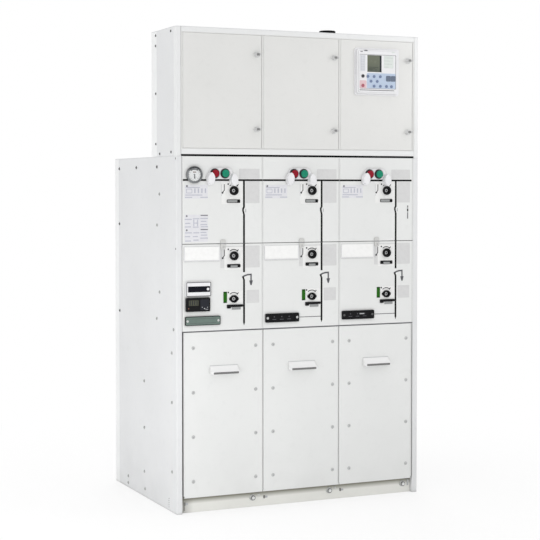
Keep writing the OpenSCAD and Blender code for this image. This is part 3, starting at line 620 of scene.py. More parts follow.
# Marks round the sockets, from their middles: a turning arrow, and a switch sign beside the upper two
ARROW_BAND, ARROW_DOT, ARROW_DOT_R = (22.2, 25.2, 48, 132), (-22, 24.5), 3.2
ARROW_HEAD, ARROW_HEAD_W = ((13, 16), (19.5, 23.5)), 3.2
SIGN_POST, SIGN_BLADE, SIGN_BLADE_W, SIGN_DOT_R = (-39.5, -36.5, 0, 24), ((-38, 2), (-45, -8)), 3.0, 3.6
SIGN_LINE = (-49.8, -48.6, -20, 24)
pointers = Shape("printed_pointers", ink_deep)
for left in LEFTS:
    x = left + SOCKET_X
    for k, z in enumerate(SOCKETS):
        pointers.prism(band(x, z, *ARROW_BAND), 0, LINE_T)
        pointers.prism(shifted(disc(*ARROW_DOT, ARROW_DOT_R, 12), x, z), 0, LINE_T)
        pointers.prism(stroke(shifted(ARROW_HEAD, x, z), ARROW_HEAD_W), 0, OVER_T)
        if k < 2:
            blade = shifted(SIGN_BLADE, x, z)
            pointers.prism(rect(*moved(SIGN_POST, x, z)), 0, LINE_T)
            pointers.prism(stroke(blade, SIGN_BLADE_W), 0, OVER_T)
            pointers.prism(disc(*blade[1], SIGN_DOT_R, 12), 0, LINE_T)
            contacts.prism(rect(*moved(SIGN_LINE, x, z)), 0, LINE_T)

# Blocks of plain bars on the upper panels, from their left edge and the floor
BARS_X, BLOCK_T, BLOCK_R, BLOCK_EDGE = 10.0, 0.1, 2.0, 0.02
NOTE_BLOCK, NOTE_HEAD, NOTE_HEAD_R = (0, 92, 1172, 1223), (9, 1218), 3.8
NOTE_FRAME, NOTE_FRAME_IN = (6, 30, 1191, 1208, 3), (8.4, 27.6, 1193.4, 1205.6, 2)
NOTE_BARS = ((4, 60, 1211, 1214), (3, 70, 1183, 1186.4), (1, 30, 1174.5, 1177.9), (62, 92, 1174.5, 1177.9),
             *((x, x + 5, 1192, 1209) for x in (38, 52, 66, 80)))
# The table of bars in the first bay: its columns' sides and the heights of their rows
TABLE_BLOCK, ROW_H = (0, 92, 1011, 1112), 3.6
TABLE = ((0, 28, (1095, 1080, 1067, 1045, 1031, 1015)), (32, 58, (1097, 1081, 1066, 1045, 1031, 1018)),
         (62, 92, (1098, 1087, 1075, 1067, 1046, 1036, 1025)))
TABLE_POSTS, TABLE_POST_T = ((34, 38, 1069, 1094), (49, 53, 1069, 1094)), 0.18
TABLE_HEADS, TABLE_DOT, TABLE_DOT_R, TABLE_HEAD = (1107, 1054.5), (8, 0), 3.6, (63, 92, 0.4, 4.4)
bars = Shape("printed_bars", ink_pale)
heads = Shape("printed_heads", ink_head)
blocks = Shape("printed_blocks", ink_block)
for left in [edge + BARS_X for edge in LEFTS]:
    blocks.plate(*moved(NOTE_BLOCK, left), 0, BLOCK_T, BLOCK_R, BLOCK_EDGE)
    heads.prism(shifted(disc(*NOTE_HEAD, NOTE_HEAD_R, 14), left), 0, LAYER)
    bars.hoop(shifted(rect(*NOTE_FRAME), left), shifted(rect(*NOTE_FRAME_IN), left), 0, FILM)
    for box in NOTE_BARS:
        bars.prism(rect(*moved(box, left)), 0, FILM)
left = LEFTS[0] + BARS_X
blocks.plate(*moved(TABLE_BLOCK, left), 0, BLOCK_T, BLOCK_R, BLOCK_EDGE)
for x0, x1, rows in TABLE:
    for n, z in enumerate(rows):
        ragged = (x0 + n % 2 * 2, x1 - n * 5 % 3 * 3)
        bars.prism(rect(left + ragged[0], left + ragged[1], z - ROW_H / 2, z + ROW_H / 2), 0, FILM)
for z in TABLE_HEADS:
    heads.prism(shifted(disc(*TABLE_DOT, TABLE_DOT_R, 14), left, z), 0, FILM)
    heads.prism(rect(*moved(TABLE_HEAD, left, z)), 0, FILM)
for box in TABLE_POSTS:
    bars.prism(rect(*moved(box, left)), 0, TABLE_POST_T)

# Small upright mark at the right end of the upper panels
END_X = 974.8
END_CORE, END_DASH, END_LINE = (-2.6, 2.6, 1118, 1130), (-2, 2, 1133, 1142), (-1.8, 1.8, 1090, 1115)
end_core = Shape("end_mark", ink_black)
end_marks = Shape("end_mark_lines", ink_dark)
end_core.plate(*moved(END_CORE, END_X), 0, 0.8, 1.6, 0.3)
end_marks.plate(*moved(END_DASH, END_X), 0, 0.6, 1.2, 0.2)
end_marks.plate(*moved(END_LINE, END_X), 0, 0.6, 1.0, 0.2)

# Padlock slides under the lever sockets: a plated bar in a dark channel with a round stop at its end
SLIDE_T, BAR_T = 2.4, 3.0
SLIDES = ((178, 232, 1155, 1168), (179, 233, 913, 926))
SLIDE_BARS = ((179.6, 220, 1156.6, 1166.4), (192.6, 221, 911.6, 921.4))
STOP_X, STOP = 6.5, ((5.6, SLIDE_T - 1), (5.6, 4.0), (4.6, 4.8), (0, 4.8))
# Under the bottom socket: a dark bar with an ear, and a low plated bar
LOW_SLIDE, LOW_EAR = (178, 243, 765, 774), (178, 194, 760, 771)
LOW_BAR, LOW_BAR_T = (198, 234, 755, 764.6), 1.4
slides = Shape("padlock_slides", black_plastic, "black_plastic")
slide_bars = Shape("slide_bars", bar_metal, "zinc")
for left in LEFTS:
    for box, bar in zip(SLIDES, SLIDE_BARS):
        slides.plate(*moved(box, left), 0, SLIDE_T, 3.0, 0.5)
        slides.turned(STOP, (left + box[1] - STOP_X, 0, (box[2] + box[3]) / 2))
        slide_bars.plate(*moved(bar, left), 0, BAR_T, 1.2, 0.3)
    slides.plate(*moved(LOW_SLIDE, left), 0, SLIDE_T, 2.0, 0.5)
    slides.plate(*moved(LOW_EAR, left), 0, BAR_T, 3.0, 0.5)
    slide_bars.plate(*moved(LOW_BAR, left), 0, LOW_BAR_T, 1.0, 0.3)

# Green flags beside the bottom sockets
FLAG, FLAG_ENDS = (164, 178.5, 786, 818), ((164, 178.5, 781, 786), (164, 178.5, 818, 823))
FLAG_T, FLAG_END_T = 0.8, 0.9
flags = Shape("state_flags", ink_green, "green_plastic")
flag_ends = Shape("state_flag_ends", ink_leaf, "green_plastic")
for left in LEFTS:
    flags.plate(*moved(FLAG, left), 0, FLAG_T, 0.6, 0.2)
    for box in FLAG_ENDS:
        flag_ends.plate(*moved(box, left), 0, FLAG_END_T, 1.5, 0.2)

# Dark hexagon in the end of each lever shaft, painted shade standing for its socket
HEX_R, HEX_LOW, HEX_HIGH = 3.0, -2.9, 0.2
hexes = Shape("shaft_hexagons", black_plastic, "black_plastic")
for left in LEFTS:
    for z in SOCKETS:
        hexes.prism(disc(left + SOCKET_X, z, HEX_R, 6), HEX_LOW, HEX_HIGH)

# Line across each padlock tab where the panels meet
TABS = span("padlock_tabs")
TAB_W = TABS[1].x - TABS[0].x - (BAYS - 1) * BAY_W
tab_lines = Shape("tab_lines", ink_head)
for i in range(BAYS):
    x = TABS[0].x + i * BAY_W
    tab_lines.prism(rect(x, x + TAB_W, LOWER[1].z, UPPER[0].z), 0, FILM, (0, TABS[0].y, 0))

# Label cards in their holders, and under each holder a grey foot whose tone is the holder's painted shadow
HOLDERS = span("label_holders")
HOLDER_W, CARD_INSET, CARD_TOP, CARD_LOW, CARD_T = 143.0, 2.5, 0.5, 1.5, 0.6
FOOT_INSET, FOOT_LOW, FOOT_HIGH, FOOT_T = 2.0, 3.4, 0.2, 1.2
cards = Shape("label_cards", card_white, "white_plastic")
feet = Shape("label_holder_shaded_feet", ink_field)
for left in LEFTS:
    x = left + HOLDERS[0].x - LEFTS[0]
    low, high = HOLDERS[0].z, HOLDERS[1].z
    cards.plate(x + CARD_INSET, x + HOLDER_W - CARD_INSET, low + CARD_INSET, high - CARD_TOP,
                CARD_LOW, CARD_LOW + CARD_T, 1.0, 0.15)
    feet.plate(x + FOOT_INSET, x + HOLDER_W - FOOT_INSET, low - FOOT_LOW, low - FOOT_HIGH, 0, FOOT_T, 0.8)

# Pressure gauge dial, from the gauge's middle
DIAL_R, DIAL_LOW, DIAL_H = 24.1, 5.0, 5.4
BEZEL_SHADOW_BAND, BEZEL_SHADOW_H = (18.4, 23.8, 52, 132), 5.6
TICKS, TICK_START, TICK_STEP, TICK_H, TICK_W = 13, -45, 22.5, 5.65, 1.1
TICK_LONG, TICK_NEAR, TICK_FAR = 17.0, 19.0, 21.8
PLAQUE, PLAQUE_H = (-6.5, 6.5, 8, 12), 5.7
NEEDLE, NEEDLE_LOW, NEEDLE_H = ((-1.5, 3), (-2.2, -14), (3.6, -14), (1.5, 3)), 5.9, 6.5
HUB = ((3.0, 5.0), (3.0, 7.0), (2.4, 7.4), (0, 7.4))
MIDDLE = (GAUGE_X, 0, GAUGE_Z)
dial = Shape("gauge_dial", card_white, "white_plastic")
ticks = Shape("gauge_scale", ink_black, "black_plastic")
plaque = Shape("gauge_plaque", rust_film, "black_plastic")
needle = Shape("gauge_needle", ink_black, "black_plastic")
dial.turned([(DIAL_R, DIAL_LOW), (DIAL_R, DIAL_H), (0, DIAL_H)], MIDDLE, steps=48)
# A black band inside the top of the ring, the ring's painted shadow on the dial
ticks.prism(band(0, 0, *BEZEL_SHADOW_BAND), DIAL_H, BEZEL_SHADOW_H, MIDDLE)
for n in range(TICKS):
    turn = math.radians(TICK_START + n * TICK_STEP)
    ends = [(r * math.cos(turn), r * math.sin(turn)) for r in (TICK_NEAR if n % 3 else TICK_LONG, TICK_FAR)]
    ticks.prism(stroke(ends, TICK_W), DIAL_H, TICK_H, MIDDLE)
plaque.plate(*PLAQUE, DIAL_H, PLAQUE_H, 0.8, 0.1, MIDDLE)
needle.prism(NEEDLE, NEEDLE_LOW, NEEDLE_H, MIDDLE)
needle.turned(HUB, MIDDLE)

# Voltage indicators, from the lower left corner of each plate
PLATES = span("voltage_indicators")
PLATE_W, PLATE_T, PLATE_H = 140.0, 6.0, PLATES[1].z - PLATES[0].z
FILM_FACE, FILM_LINES = (2, PLATE_W - 2, 2.4, PLATE_H - 2.4), (8.5, PLATE_H - 8.5)
FILM_LINE = (18, PLATE_W - 18, -0.6, 0.6)
WINDOW_LOW, WINDOW_FACE = 4.0, (18.6, 121.4, 6.6, PLATE_H - 6.6)
WINDOW_MARKS, MARK, MARK_LAMP = (28, 59, 90), (0, 16, 10, 12.2), (8, PLATE_H - 12.5)
WINDOW_GLINT, PLATE_SCREW_X = (76, 98, 18.5, 22.5), 8.5
LEAD_START, LEAD_LOW, LEAD_HIGH = 4.0, 716.0, 718.4
film_face = Shape("indicator_face_1", sage_film, "black_plastic")
window_faces = Shape("indicator_faces", black_plastic, "black_plastic")
marks = Shape("indicator_marks", ink_dark, "white_plastic")
glints = Shape("indicator_painted_glint", ink_grey, "white_plastic")
plate_screws = Shape("indicator_screws", bright_zinc, "zinc")
worn_screws = Shape("indicator_worn_screws", dark_zinc, "zinc")
frets = Shape("indicator_lines_1", ink_dark, "black_plastic")
leads = Shape("indicator_leads", ink_dark)
for i in range(BAYS):
    left, low = LEFTS[i] + PLATES[0].x - LEFTS[0], PLATES[0].z
    for x in (left + PLATE_SCREW_X, left + PLATE_W - PLATE_SCREW_X):
        spot = (x, -PLATE_T, low + PLATE_H / 2)
        screw(worn_screws if i == BAYS - 1 else plate_screws, spot, 3.6, 2.4)
    if i == 0:
        film_face.plate(*moved(FILM_FACE, left, low), PLATE_T, PLATE_T + 0.5, 1.2, 0.2)
        for z in FILM_LINES:
            frets.plate(*moved(FILM_LINE, left, low + z), PLATE_T, PLATE_T + 0.8, 0.5, 0.1)
        continue
    window_faces.plate(*moved(WINDOW_FACE, left, low), WINDOW_LOW, WINDOW_LOW + 0.8, 1.6, 0.3)
    for x in WINDOW_MARKS:
        marks.plate(*moved(MARK, left + x, low), WINDOW_LOW, WINDOW_LOW + 1.1, 0.6, 0.1)
        marks.stud(2.4, 1.6, (1.5, 2.2), 2.3, (left + x + MARK_LAMP[0], -WINDOW_LOW, low + MARK_LAMP[1]))
    lead = (left + PLATE_W + LEAD_START, LEFTS[i] + MIMIC_X - MIMIC_W / 2)
    leads.prism(rect(*lead, LEAD_LOW, LEAD_HIGH), 0, FILM)
# A painted glint: a grey bar on the plate in the last bay's window
glints.plate(*moved(WINDOW_GLINT, left, low), WINDOW_LOW, WINDOW_LOW + 1.0, 0.8, 0.1)

# Display unit, from its lower left corner
CASE_T, WINDOW_FLOOR = 10.0, 8.0
DISPLAY = span("display_unit")
x, z = DISPLAY[0].x, DISPLAY[0].z
SCREEN, KNOB = (7, 94, 16.2, 37.9), (86, 27)
OUTLINE_OUT, OUTLINE_IN = 0.7, 2.9
screen = Shape("display_screen", navy_glass, "screen_glass")
knob = Shape("display_knob", white_plastic, "white_plastic")
outline = Shape("display_outline", ink_deep, "white_plastic")
screen.plate(*moved(SCREEN, x, z), CASE_T, CASE_T + 0.5, 1.6, 0.2)
knob.stud(5, 1, (4, 1.6), 1.6, (x + KNOB[0], -CASE_T, z + KNOB[1]), steps=24)
rims = [rect(x + inset, DISPLAY[1].x - inset, z + inset, DISPLAY[1].z - inset, r)
        for inset, r in ((OUTLINE_OUT, 3), (OUTLINE_IN, 2))]
outline.hoop(*rims, CASE_T, CASE_T + 0.3)

# Fault indicator, from its lower left corner
FAULT = span("fault_indicator")
x, z = FAULT[0].x, FAULT[0].z
PANE, STRIPES, STRIPE_PITCH, STRIPE = (10, 49, 22, 42.3), 4, 9, (14, 17.6, 24, 40.4)
FAULT_FILM, FAULT_DASH, FAULT_LAMP = (56, 90, 5, 45), (76, 86, 7, 8.6), (9, 12)
FAULT_POINTS = ((63, 16, 1.6), (72, 11, 2.3), (84, 15, 1.5))
pane = Shape("fault_window", olive_glass, "screen_glass")
film = Shape("fault_film", slate_film, "black_plastic")
points = Shape("fault_points", ink_grey, "white_plastic")
stripes = Shape("fault_stripes", slate_film, "screen_glass")
lamp_spot = Shape("fault_lamp", rust_film, "black_plastic")
pane.plate(*moved(PANE, x, z), WINDOW_FLOOR, WINDOW_FLOOR + 0.9, 1.4, 0.3)
for n in range(STRIPES):
    stripes.plate(*moved(STRIPE, x + n * STRIPE_PITCH, z), WINDOW_FLOOR, WINDOW_FLOOR + 1.1, 0.4, 0.05)
film.plate(*moved(FAULT_FILM, x, z), CASE_T, CASE_T + 0.3, 2.0, 0.1)
for u, v, r in FAULT_POINTS:
    points.stud(r, 1, (r * 0.6, 1.5), 1.6, (x + u, -CASE_T, z + v))
points.plate(*moved(FAULT_DASH, x, z), CASE_T, CASE_T + 0.5, 0.5, 0.1)
lamp_spot.stud(2.4, 1, (1.6, 1.6), 1.7, (x + FAULT_LAMP[0], -CASE_T, z + FAULT_LAMP[1]), steps=16)

# Relay on the third door: films, lamps and lines on its operating face, and a painted shadow line under the
# face
LCD, LCD_SHADE = (35.6, 90, 66, 129.5), (90, 97.2, 66, 129.5)
LCD_BARS = ((40, 84, 83, 84), (40, 70, 78, 79), (40, 78, 73, 74))
KEYPAD, PATCH, COLUMN, LABELS = (33, 159.5, 2, 61), (1.5, 31, 1.5, 32), (4, 26, 68, 130), (108, 150, 82, 130)
LAMPS, LAMP_X, LAMP_Z, LAMP_PITCH, LAMP_DASH = 6, 10, 123, 9.6, (15, 23, -0.6, 0.6)
LABEL_BARS = ((110, 148, 121.4, 122.6), (110, 136, 109.4, 110.6), (110, 144, 97.4, 98.6),
              (110, 128, 85.4, 86.6))
FACE_SHADOW, RIM_OUT, RIM_IN = (0, RELAY_W - 8, -6.6, -4.2), 0.2, 1.2
# Spots on the rim, from its upper left corner, with half their width and height
RIM_SPOTS, RIM_LABEL = ((44, -11, 7, 2.4), (25, -15, 5, 1.6)), (165, -14, 7, 2.2)
lcd = Shape("relay_lcd", lcd_glass, "screen_glass", "door_3")
lcd_bars = Shape("relay_lcd_bars", slate_film, "screen_glass", "door_3")
keypad = Shape("relay_keypad", sky_film, "white_plastic", "door_3")
patch = Shape("relay_patch", pink_film, "white_plastic", "door_3")
lamps = Shape("relay_lamps", ink_grey, "black_plastic", "door_3")
column = Shape("relay_films", lilac_film, "white_plastic", "door_3")
labels = Shape("relay_labels", mint_film, "white_plastic", "door_3")
spots = Shape("relay_spots", ink_head, "black_plastic", "door_3")
face_shadow = Shape("relay_face_shadow", ink_dark, "black_plastic", "door_3")


def on_face(shape, box, low, thickness, r):
    shape.plate(*moved(box, RELAY_X, RELAY_Z), low, low + thickness, r, 0.06)


def on_rim(shape, x, z, half_w, half_h):
    box = moved((-half_w, half_w, -half_h, half_h), RELAY[0].x + x, RELAY[1].z + z)
    shape.plate(*box, RELAY_RIM, RELAY_RIM + 1.5, half_h * 0.9, 0.3)


on_face(lcd, LCD, RELAY_SCREEN, 0.2, 1.5)
for box in LCD_BARS:
    on_face(lcd_bars, box, RELAY_SCREEN, 0.35, 0.4)
on_face(lcd_bars, LCD_SHADE, RELAY_SCREEN, 0.35, 0.6)
for shape, box, r in ((keypad, KEYPAD, 4), (patch, PATCH, 4), (column, COLUMN, 3), (labels, LABELS, 3)):
    on_face(shape, box, RELAY_FACE, 0.3, r)
for n in range(LAMPS):
    z = LAMP_Z - n * LAMP_PITCH
    lamps.stud(1.5, 1, (1.0, 1.4), 1.5, (RELAY_X + LAMP_X, -RELAY_FACE, RELAY_Z + z))
    on_face(lamps, moved(LAMP_DASH, 0, z), RELAY_FACE, 0.45, 0.5)
for box in LABEL_BARS:
    on_face(lamps, box, RELAY_FACE, 0.45, 0.5)
for spot in RIM_SPOTS:
    on_rim(spots, *spot)
on_rim(labels, *RIM_LABEL)
# A dark line under the face, painted shadow of its lower edge
on_face(face_shadow, FACE_SHADOW, RELAY_RIM, 1.3, 0.6)
rims = [rect(inset, RELAY_W - inset, inset, RELAY_H - inset, r) for inset, r in ((RIM_OUT, 4), (RIM_IN, 3.4))]
spots.hoop(*rims, RELAY_FACE, RELAY_FACE + 0.3, (RELAY_X, 0, RELAY_Z))

# Pale edging round the doors: a flush lip over a deeper strip, thin where the doors turn
EDGE_FREE, EDGE_TURN, EDGE_END = 1.8, 0.9, 2.1
LIP_FREE, LIP_TURN, LIP_LAST, LIP_T = 3.3, 1.35, 4.6, 0.3
LIP_LAP, LIP_PROUD = 0.9, 0.1
EDGE_TURN_FRONT, EDGE_BACK = 3.5, 18.0
PIN_CLEAR = 10.0
DOOR_GAP = DOORS[1][0].x - DOORS[0][1].x
for i, (low, high) in enumerate(DOORS):
    trim = Shape(f"door_{i + 1}_edging", door_paint, "white_plastic", f"door_{i + 1}")
    z0, z1 = low.z - EDGE_END, high.z + EDGE_END
    lip_end = high.x + (LIP_LAST if i == BAYS - 1 else LIP_FREE)
    trim.prism(rect(high.x, high.x + EDGE_FREE, z0, z1), -EDGE_BACK, -LIP_T)
    trim.prism(rect(high.x, lip_end, z0, z1), -LIP_T, 0)
    trim.prism(rect(high.x - LIP_LAP, lip_end, z0, z1), 0, LIP_PROUD)
    trim.prism(rect(low.x - EDGE_TURN, low.x, z0, z1), -EDGE_BACK, -EDGE_TURN_FRONT)
    trim.prism(rect(low.x - LIP_TURN, low.x, z0, z1), -LIP_T, 0)
    trim.prism(rect(low.x - LIP_TURN, low.x + LIP_LAP, z0, z1), 0, LIP_PROUD)
    for za, zb in ((z0, low.z), (high.z, z1)):
        trim.prism(rect(low.x + PIN_CLEAR, high.x, za, zb), -EDGE_BACK, -LIP_T)
        trim.prism(rect(low.x, high.x, za, zb), -LIP_T, 0)
x0, x1 = DOORS[0][0].x - DOOR_GAP, DOORS[-1][1].x + DOOR_GAP
z0, z1 = DOORS[0][0].z - DOOR_GAP, DOORS[0][1].z + DOOR_GAP
trim = Shape("frame_edging", door_paint, "white_plastic")
trim.prism(rect(x0, x0 + EDGE_FREE, z0, z1), -EDGE_BACK, -LIP_T)
trim.prism(rect(x0, x0 + LIP_FREE, z0, z1), -LIP_T, 0)
for za, zb in ((z0, z0 + EDGE_END), (z1 - EDGE_END, z1)):
    trim.prism(rect(x0 + LIP_FREE, x1, za, zb), -LIP_T, 0)
    for low, high in DOORS:
        trim.prism(rect(low.x + PIN_CLEAR, high.x, za, zb), -EDGE_BACK, -LIP_T)

# Beads and strips in the joints of the panels and covers, and a dark lip on the roof's front edge
STRIP, ROOF = span("joint_strip"), span("roof_plate")
COVER_JOINT, COVER_DEPTH, COVER_CLEAR = 3.0, 3.0, 0.2
BEAD_W, BEAD_T, BEAD_DEPTH, BEAD_CLEAR = 3.2, 0.15, 6.0, 0.05
strips = Shape("joint_strips", edging, "white_plastic")
beads = Shape("joint_beads", front_paint)
roof_lip = Shape("joint_lip", rubber, "rubber")
for low, high in (UPPER, LOWER):
    for x in LEFTS[1:]:
        half = SEAM / 2 - BEAD_CLEAR
        beads.prism(rect(x - half, x + half, low.z, high.z), -BEAD_DEPTH, 0)
        beads.plate(x - BEAD_W / 2, x + BEAD_W / 2, low.z, high.z, 0, BEAD_T, 0.5, 0.08)
    beads.plate(high.x - BEAD_W / 2, high.x + BEAD_W / 2, low.z, high.z, 0, BEAD_T, 0.5, 0.08)
for x in LEFTS[1:]:
    half = COVER_JOINT / 2 - COVER_CLEAR
    strips.prism(rect(x - half, x + half, COVERS[0].z, COVERS[1].z), -COVER_DEPTH - BEAD_DEPTH, -COVER_DEPTH)
strips.prism(rect(UPPER[0].x, UPPER[1].x, UPPER[1].z, ROOF[0].z), -BEAD_DEPTH, -COVER_CLEAR)
roof_lip.prism(rect(STRIP[0].x, STRIP[1].x, ROOF[0].z + 0.4, STRIP[0].z), 0, LIP_T, (0, ROOF[0].y, 0))

# Hems along the feet and the outer edges of the covers, and a dark line above the covers, painted shadow of
# their joint
HEM_LOW, HEM_SIDE, HEM_LAP, HEM_BACK, HEM_T, GAP_SHADOW_H = 5.5, 1.7, 1.5, -1.5, 0.2, 2.2
hem_low = COVERS[0].z - HEM_LOW
hems = Shape("cover_hems", front_paint)
gap_shadow = Shape("cover_gap_shadow", ink_head)
for i in range(BAYS):
    start = COVERS[0].x - HEM_SIDE if i == 0 else bay_left(i) + COVER_JOINT / 2
    end = COVERS[1].x + HEM_SIDE if i == BAYS - 1 else bay_left(i + 1) - COVER_JOINT / 2
    hems.plate(start, end, hem_low, COVERS[0].z + HEM_LAP, HEM_BACK, HEM_T, 0.8, 0.1)
for start in (COVERS[0].x - HEM_SIDE, COVERS[1].x - HEM_LAP):
    hems.plate(start, start + HEM_SIDE + HEM_LAP, hem_low + 1, COVERS[1].z, HEM_BACK, HEM_T, 0.8, 0.1)
gap_shadow.prism(rect(LOWER[0].x, LOWER[1].x, LOWER[0].z, LOWER[0].z + GAP_SHADOW_H), 0, HEM_T)

# Grips on the lips of the cover handles, grey also as painted shade under the lips, and painted shade along
# the line where the hoods meet the covers
HANDLES = span("cover_handles")
HANDLE_W, GRIP_INSET, GRIP_LOW, GRIP_HIGH, GRIP_T = 110.0, 4.0, 0.8, 8.4, 0.8
SEAT_W, SEAT_LOW, SEAT_T = 1.6, 4.0, 0.3
shaded_grips = Shape("handle_shaded_grips", grip_and_shade_grey, "rubber")
side_shade = Shape("handle_side_shade", ink_field)
top_shade = Shape("handle_top_shade", ink_grey)
for i in range(BAYS):
    x = HANDLES[0].x + i * (HANDLES[1].x - HANDLES[0].x - HANDLE_W) / (BAYS - 1)
    low, top = HANDLES[0].z, HANDLES[1].z
    grip = (x + GRIP_INSET, x + HANDLE_W - GRIP_INSET, low + GRIP_LOW, low + GRIP_HIGH)
    shaded_grips.plate(*grip, 0, GRIP_T, 2.5, 0.4, (0, HANDLES[0].y, 0))
    top_shade.prism(rect(x - SEAT_W, x + HANDLE_W + SEAT_W, top, top + SEAT_W), 0, SEAT_T)
    for edge in (x - SEAT_W, x + HANDLE_W):
        side_shade.prism(rect(edge, edge + SEAT_W, low + SEAT_LOW, top), 0, SEAT_T)

# Screws of the covers, as radius and height
COVER_SCREWS_X, COVER_SCREWS_Z, COVER_SCREW = (43.0, 296.0), (617.0, 451.0, 285.0, 118.5), (5.2, 2.6)
cover_screws = Shape("cover_screws", mid_zinc, "zinc")
for left in LEFTS:
    for x in COVER_SCREWS_X:
        for z in COVER_SCREWS_Z:
            screw(cover_screws, (left + x, 0, z), *COVER_SCREW)

# Screws of the two sides, by depth and height
SIDE_SCREWS = ((207, 1291), (445, 1291), (180, 1188), (207, 1070), (180, 816), (212, 713), (30, 686),
               (50, 597), (359, 456), (50, 412), (359, 273), (359, 100), (50, 152), (353, 32), (555, 47),
               (555, 20))
WRAP_SCREWS = ((656, 1289), (656, 1065), (656, 710))
BOX_SCREWS = ((53, 1791), (53, 1344), (217, 1789), (218, 1750), (217, 1569), (218, 1378), (175, 1340))
SIDE_SCREW, BOX_SCREW, REAR_SCREW = (4.8, 3.0), (4.0, 2.4), (4.6, 3.0)
FOOT_RIVETS, FOOT_Y, FOOT_Z, FOOT_PITCH = 5, 83.0, 14.0, 8.0
CATCH, CATCH_Y, CATCHES_Z = (-2.2, 2.2, 0, 7), 6.0, (1316, 983)
WORN_FROM = 1280
side_screws = Shape("side_screws", zinc, "zinc")
worn = Shape("side_worn_screws", dark_zinc, "zinc")
box_screws = Shape("compartment_screws", dark_zinc, "zinc")
rivets = Shape("side_rivets", dark_zinc, "zinc")
for facing, x in (("left", 0.0), ("right", UNIT_W)):
    for y, z in SIDE_SCREWS:
        screw(worn if z > WORN_FROM else side_screws, (x, y, z), *SIDE_SCREW, facing)
    for y, z in WRAP_SCREWS:
        screw(worn, (x, y, z), *SIDE_SCREW, facing)
    for y, z in BOX_SCREWS:
        screw(box_screws, (x, y, z), *BOX_SCREW, facing)
    for n in range(FOOT_RIVETS):
        rivets.stud(1.8, 0.6, (1.0, 1.2), 1.3, (x, FOOT_Y, FOOT_Z + n * FOOT_PITCH), facing, 12)
    for z in CATCHES_Z:
        rivets.plate(*CATCH, 0, 0.8, 1.0, 0.2, (x, CATCH_Y, z), facing)

# Screws of the rear wall and of the compartment's rear
REAR_INSET, REAR_STEPS = 22.0, 6
BOX_REAR = span("compartment_rear")
rear_screws = Shape("rear_screws", zinc, "zinc")
for x in (REAR_INSET, UNIT_W / 2, UNIT_W - REAR_INSET):
    for n in range(REAR_STEPS):
        z = REAR[0].z + REAR_INSET + n * (REAR[1].z - REAR[0].z - 2 * REAR_INSET) / (REAR_STEPS - 1)
        screw(rear_screws, (x, REAR[1].y, z), *REAR_SCREW, "rear")
    for z in (BOX_REAR[0].z + REAR_INSET, BOX_REAR[1].z - REAR_INSET):
        screw(rear_screws, (x, BOX_REAR[1].y, z), *BOX_SCREW, "rear")

# Brackets that hold the covers' feet, on the plinth beside the joints of the bays
CLIP, BOLT_SPOT, BOLT = (-22, -9, 52, 61), (-9, 43), (3.4, 3.4)
BRACKET, TAIL, LAST_TAIL = (10, 17, 28, 40), (17, 27, 30, 37), (-13, -8, 26, 50)
END_BRACKETS = ((0.6, 4, 1, 56), (11, 14, 8, 40))
ON_PLINTH = (0, PLINTH_Y, 0)
brackets = Shape("plinth_brackets", bracket_grey, "zinc")
tails = Shape("plinth_bracket_tails", ink_grey, "zinc")
bolts = Shape("plinth_bolts", bright_zinc, "zinc")
for i in range(BAYS + 1):
    joint = bay_left(i)
    if i:
        brackets.plate(*moved(CLIP, joint), 0, 3.0, 2.0, 0.5, ON_PLINTH)
        screw(bolts, (joint + BOLT_SPOT[0], PLINTH_Y, BOLT_SPOT[1]), *BOLT)
    if i < BAYS:
        brackets.plate(*moved(BRACKET, joint), 0, 3.0, 2.0, 0.5, ON_PLINTH)
        tails.plate(*moved(TAIL, joint), 0, 2.0, 1.0, 0.4, ON_PLINTH)
    else:
        tails.plate(*moved(LAST_TAIL, joint), 0, 3.0, 2.0, 0.5, ON_PLINTH)
for box in END_BRACKETS:
    brackets.plate(*moved(box, LEFTS[0]), 0, 2.0, 1.0, 0.4, ON_PLINTH)

# Dark rings at the heads of the earth bolts, painted shade on their washers
EARTH_BOLTS = span("earth_bolts")
EARTH_R, RING_OUT, RING_IN, RING_LOW, RING_HIGH = 12.0, 9.3, 7.4, 8.2, 10.0
rings = Shape("earth_bolt_washer_shade", dark_zinc, "zinc")
for i in range(BAYS):
    middle = (EARTH_BOLTS[0].x + EARTH_R + i * BAY_W, PLINTH_Y, (EARTH_BOLTS[0].z + EARTH_BOLTS[1].z) / 2)
    rings.hoop(disc(0, 0, RING_OUT), disc(0, 0, RING_IN), RING_LOW, RING_HIGH, middle)

for piece in pieces:
    piece.finish()

# Floor, light and camera, in metres
WHITE = (1, 1, 1, 1)
SKY_LIGHT, WHITE_LIGHT, FLOOR_GLOW = 0.70, 1.0, 0.68
FLOOR_R, FLOOR_DROP = 30.0, 0.0005
SHADOW_NEAR, SHADOW_FAR = 0.8, 2.0


def white_when_seen(tree, lit, glow, share=None):
    """Mixes a glow into a surface or background for rays from the camera, gloss and glass alone."""
    path = tree.node("LightPath")
    seen = path.outputs["Is Camera Ray"]
    for name in ("Is Glossy Ray", "Is Transmission Ray"):
        seen = tree.math("MAXIMUM", seen, path.outputs[name])
    if share:
        seen = tree.math("MULTIPLY", seen, share)
    return tree.node("MixShader", seen, lit.outputs[0], glow.outputs[0]).outputs[0]


scene = bpy.context.scene
scene.view_settings.view_transform = "Standard"

world = bpy.data.worlds.new("studio")
tree = Tree(world)
tree.nodes.clear()
sky = tree.node("Background", Color=WHITE, Strength=SKY_LIGHT)
white = tree.node("Background", Color=WHITE, Strength=WHITE_LIGHT)
tree.node("OutputWorld", Surface=white_when_seen(tree, sky, white))
scene.world = world

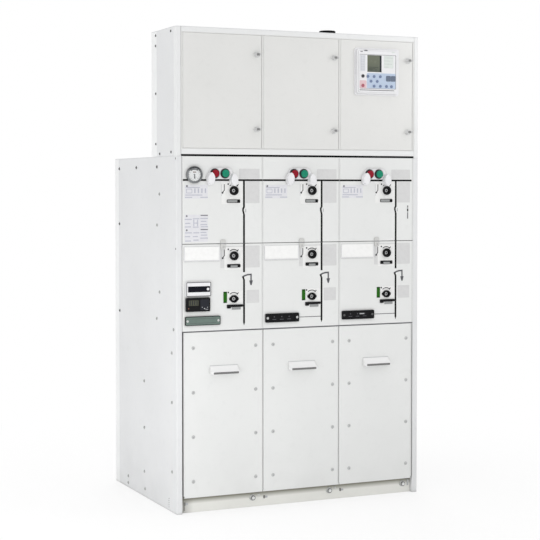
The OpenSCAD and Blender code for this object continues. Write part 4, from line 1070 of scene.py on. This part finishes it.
floor_mesh = bpy.data.meshes.new("studio_floor")
floor_bm = bmesh.new()
bmesh.ops.create_circle(floor_bm, cap_ends=True, segments=96, radius=FLOOR_R)
floor_bm.to_mesh(floor_mesh)
floor_bm.free()
floor = added("studio_floor", floor_mesh)
floor.location.z = -FLOOR_DROP
floor_material = bpy.data.materials.new("studio_floor")
tree = Tree(floor_material)
tree.nodes.clear()
matt = tree.node("BsdfDiffuse", Color=WHITE)
glow = tree.node("Emission", Color=WHITE, Strength=WHITE_LIGHT)
away = tree.node("VectorMath", tree.node("TexCoord").outputs["Object"])
away.operation = "LENGTH"
share = tree.node("MapRange", away.outputs["Value"], SHADOW_NEAR, SHADOW_FAR, FLOOR_GLOW, 1.0)
share.interpolation_type = "SMOOTHSTEP"
tree.node("OutputMaterial", Surface=white_when_seen(tree, matt, glow, share.outputs[0]))
floor_mesh.materials.append(floor_material)


def lamp(name, place, target, size, power):
    """A round area lamp that points at a target."""
    data = bpy.data.lights.new(name, "AREA")
    data.shape, data.size, data.energy = "DISK", size, power
    light = added(name, data)
    light.location = place
    light.rotation_euler = (Vector(target) - Vector(place)).to_track_quat("-Z", "Y").to_euler()


UNIT_MIDDLE = (0.0, 0.0, 0.9)
lamp("key_light", (-2.2, -4.2, 1.5), UNIT_MIDDLE, 2.6, 22.0)
lamp("low_light", (-1.35, -1.35, 0.45), (-0.35, -0.35, 0.4), 0.8, 3.7)
lamp("right_light", (1.2, -1.2, 1.9), (0.3, -0.35, 1.5), 0.8, 2.9)
lamp("side_light", (-4.0, 0.5, 2.6), UNIT_MIDDLE, 2.4, 14.0)
lamp("back_light", (1.6, 4.0, 3.2), UNIT_MIDDLE, 2.6, 34.0)
lamp("top_light", (0.0, 0.0, 6.0), UNIT_MIDDLE, 5.0, 50.0)

CAMERA_PLACE, CAMERA_YAW, CAMERA_PITCH = (-2.4203, -5.4166, 1.2104), 24.280, 1.928
camera_data = bpy.data.cameras.new("camera")
camera_data.lens, camera_data.sensor_width, camera_data.shift_y = 98.024, 36.0, -0.06
camera_data.dof.use_dof = False
camera = added("camera", camera_data)
camera.location = CAMERA_PLACE
camera.rotation_euler = (math.radians(90 - CAMERA_PITCH), 0.0, math.radians(-CAMERA_YAW))
scene.camera = camera
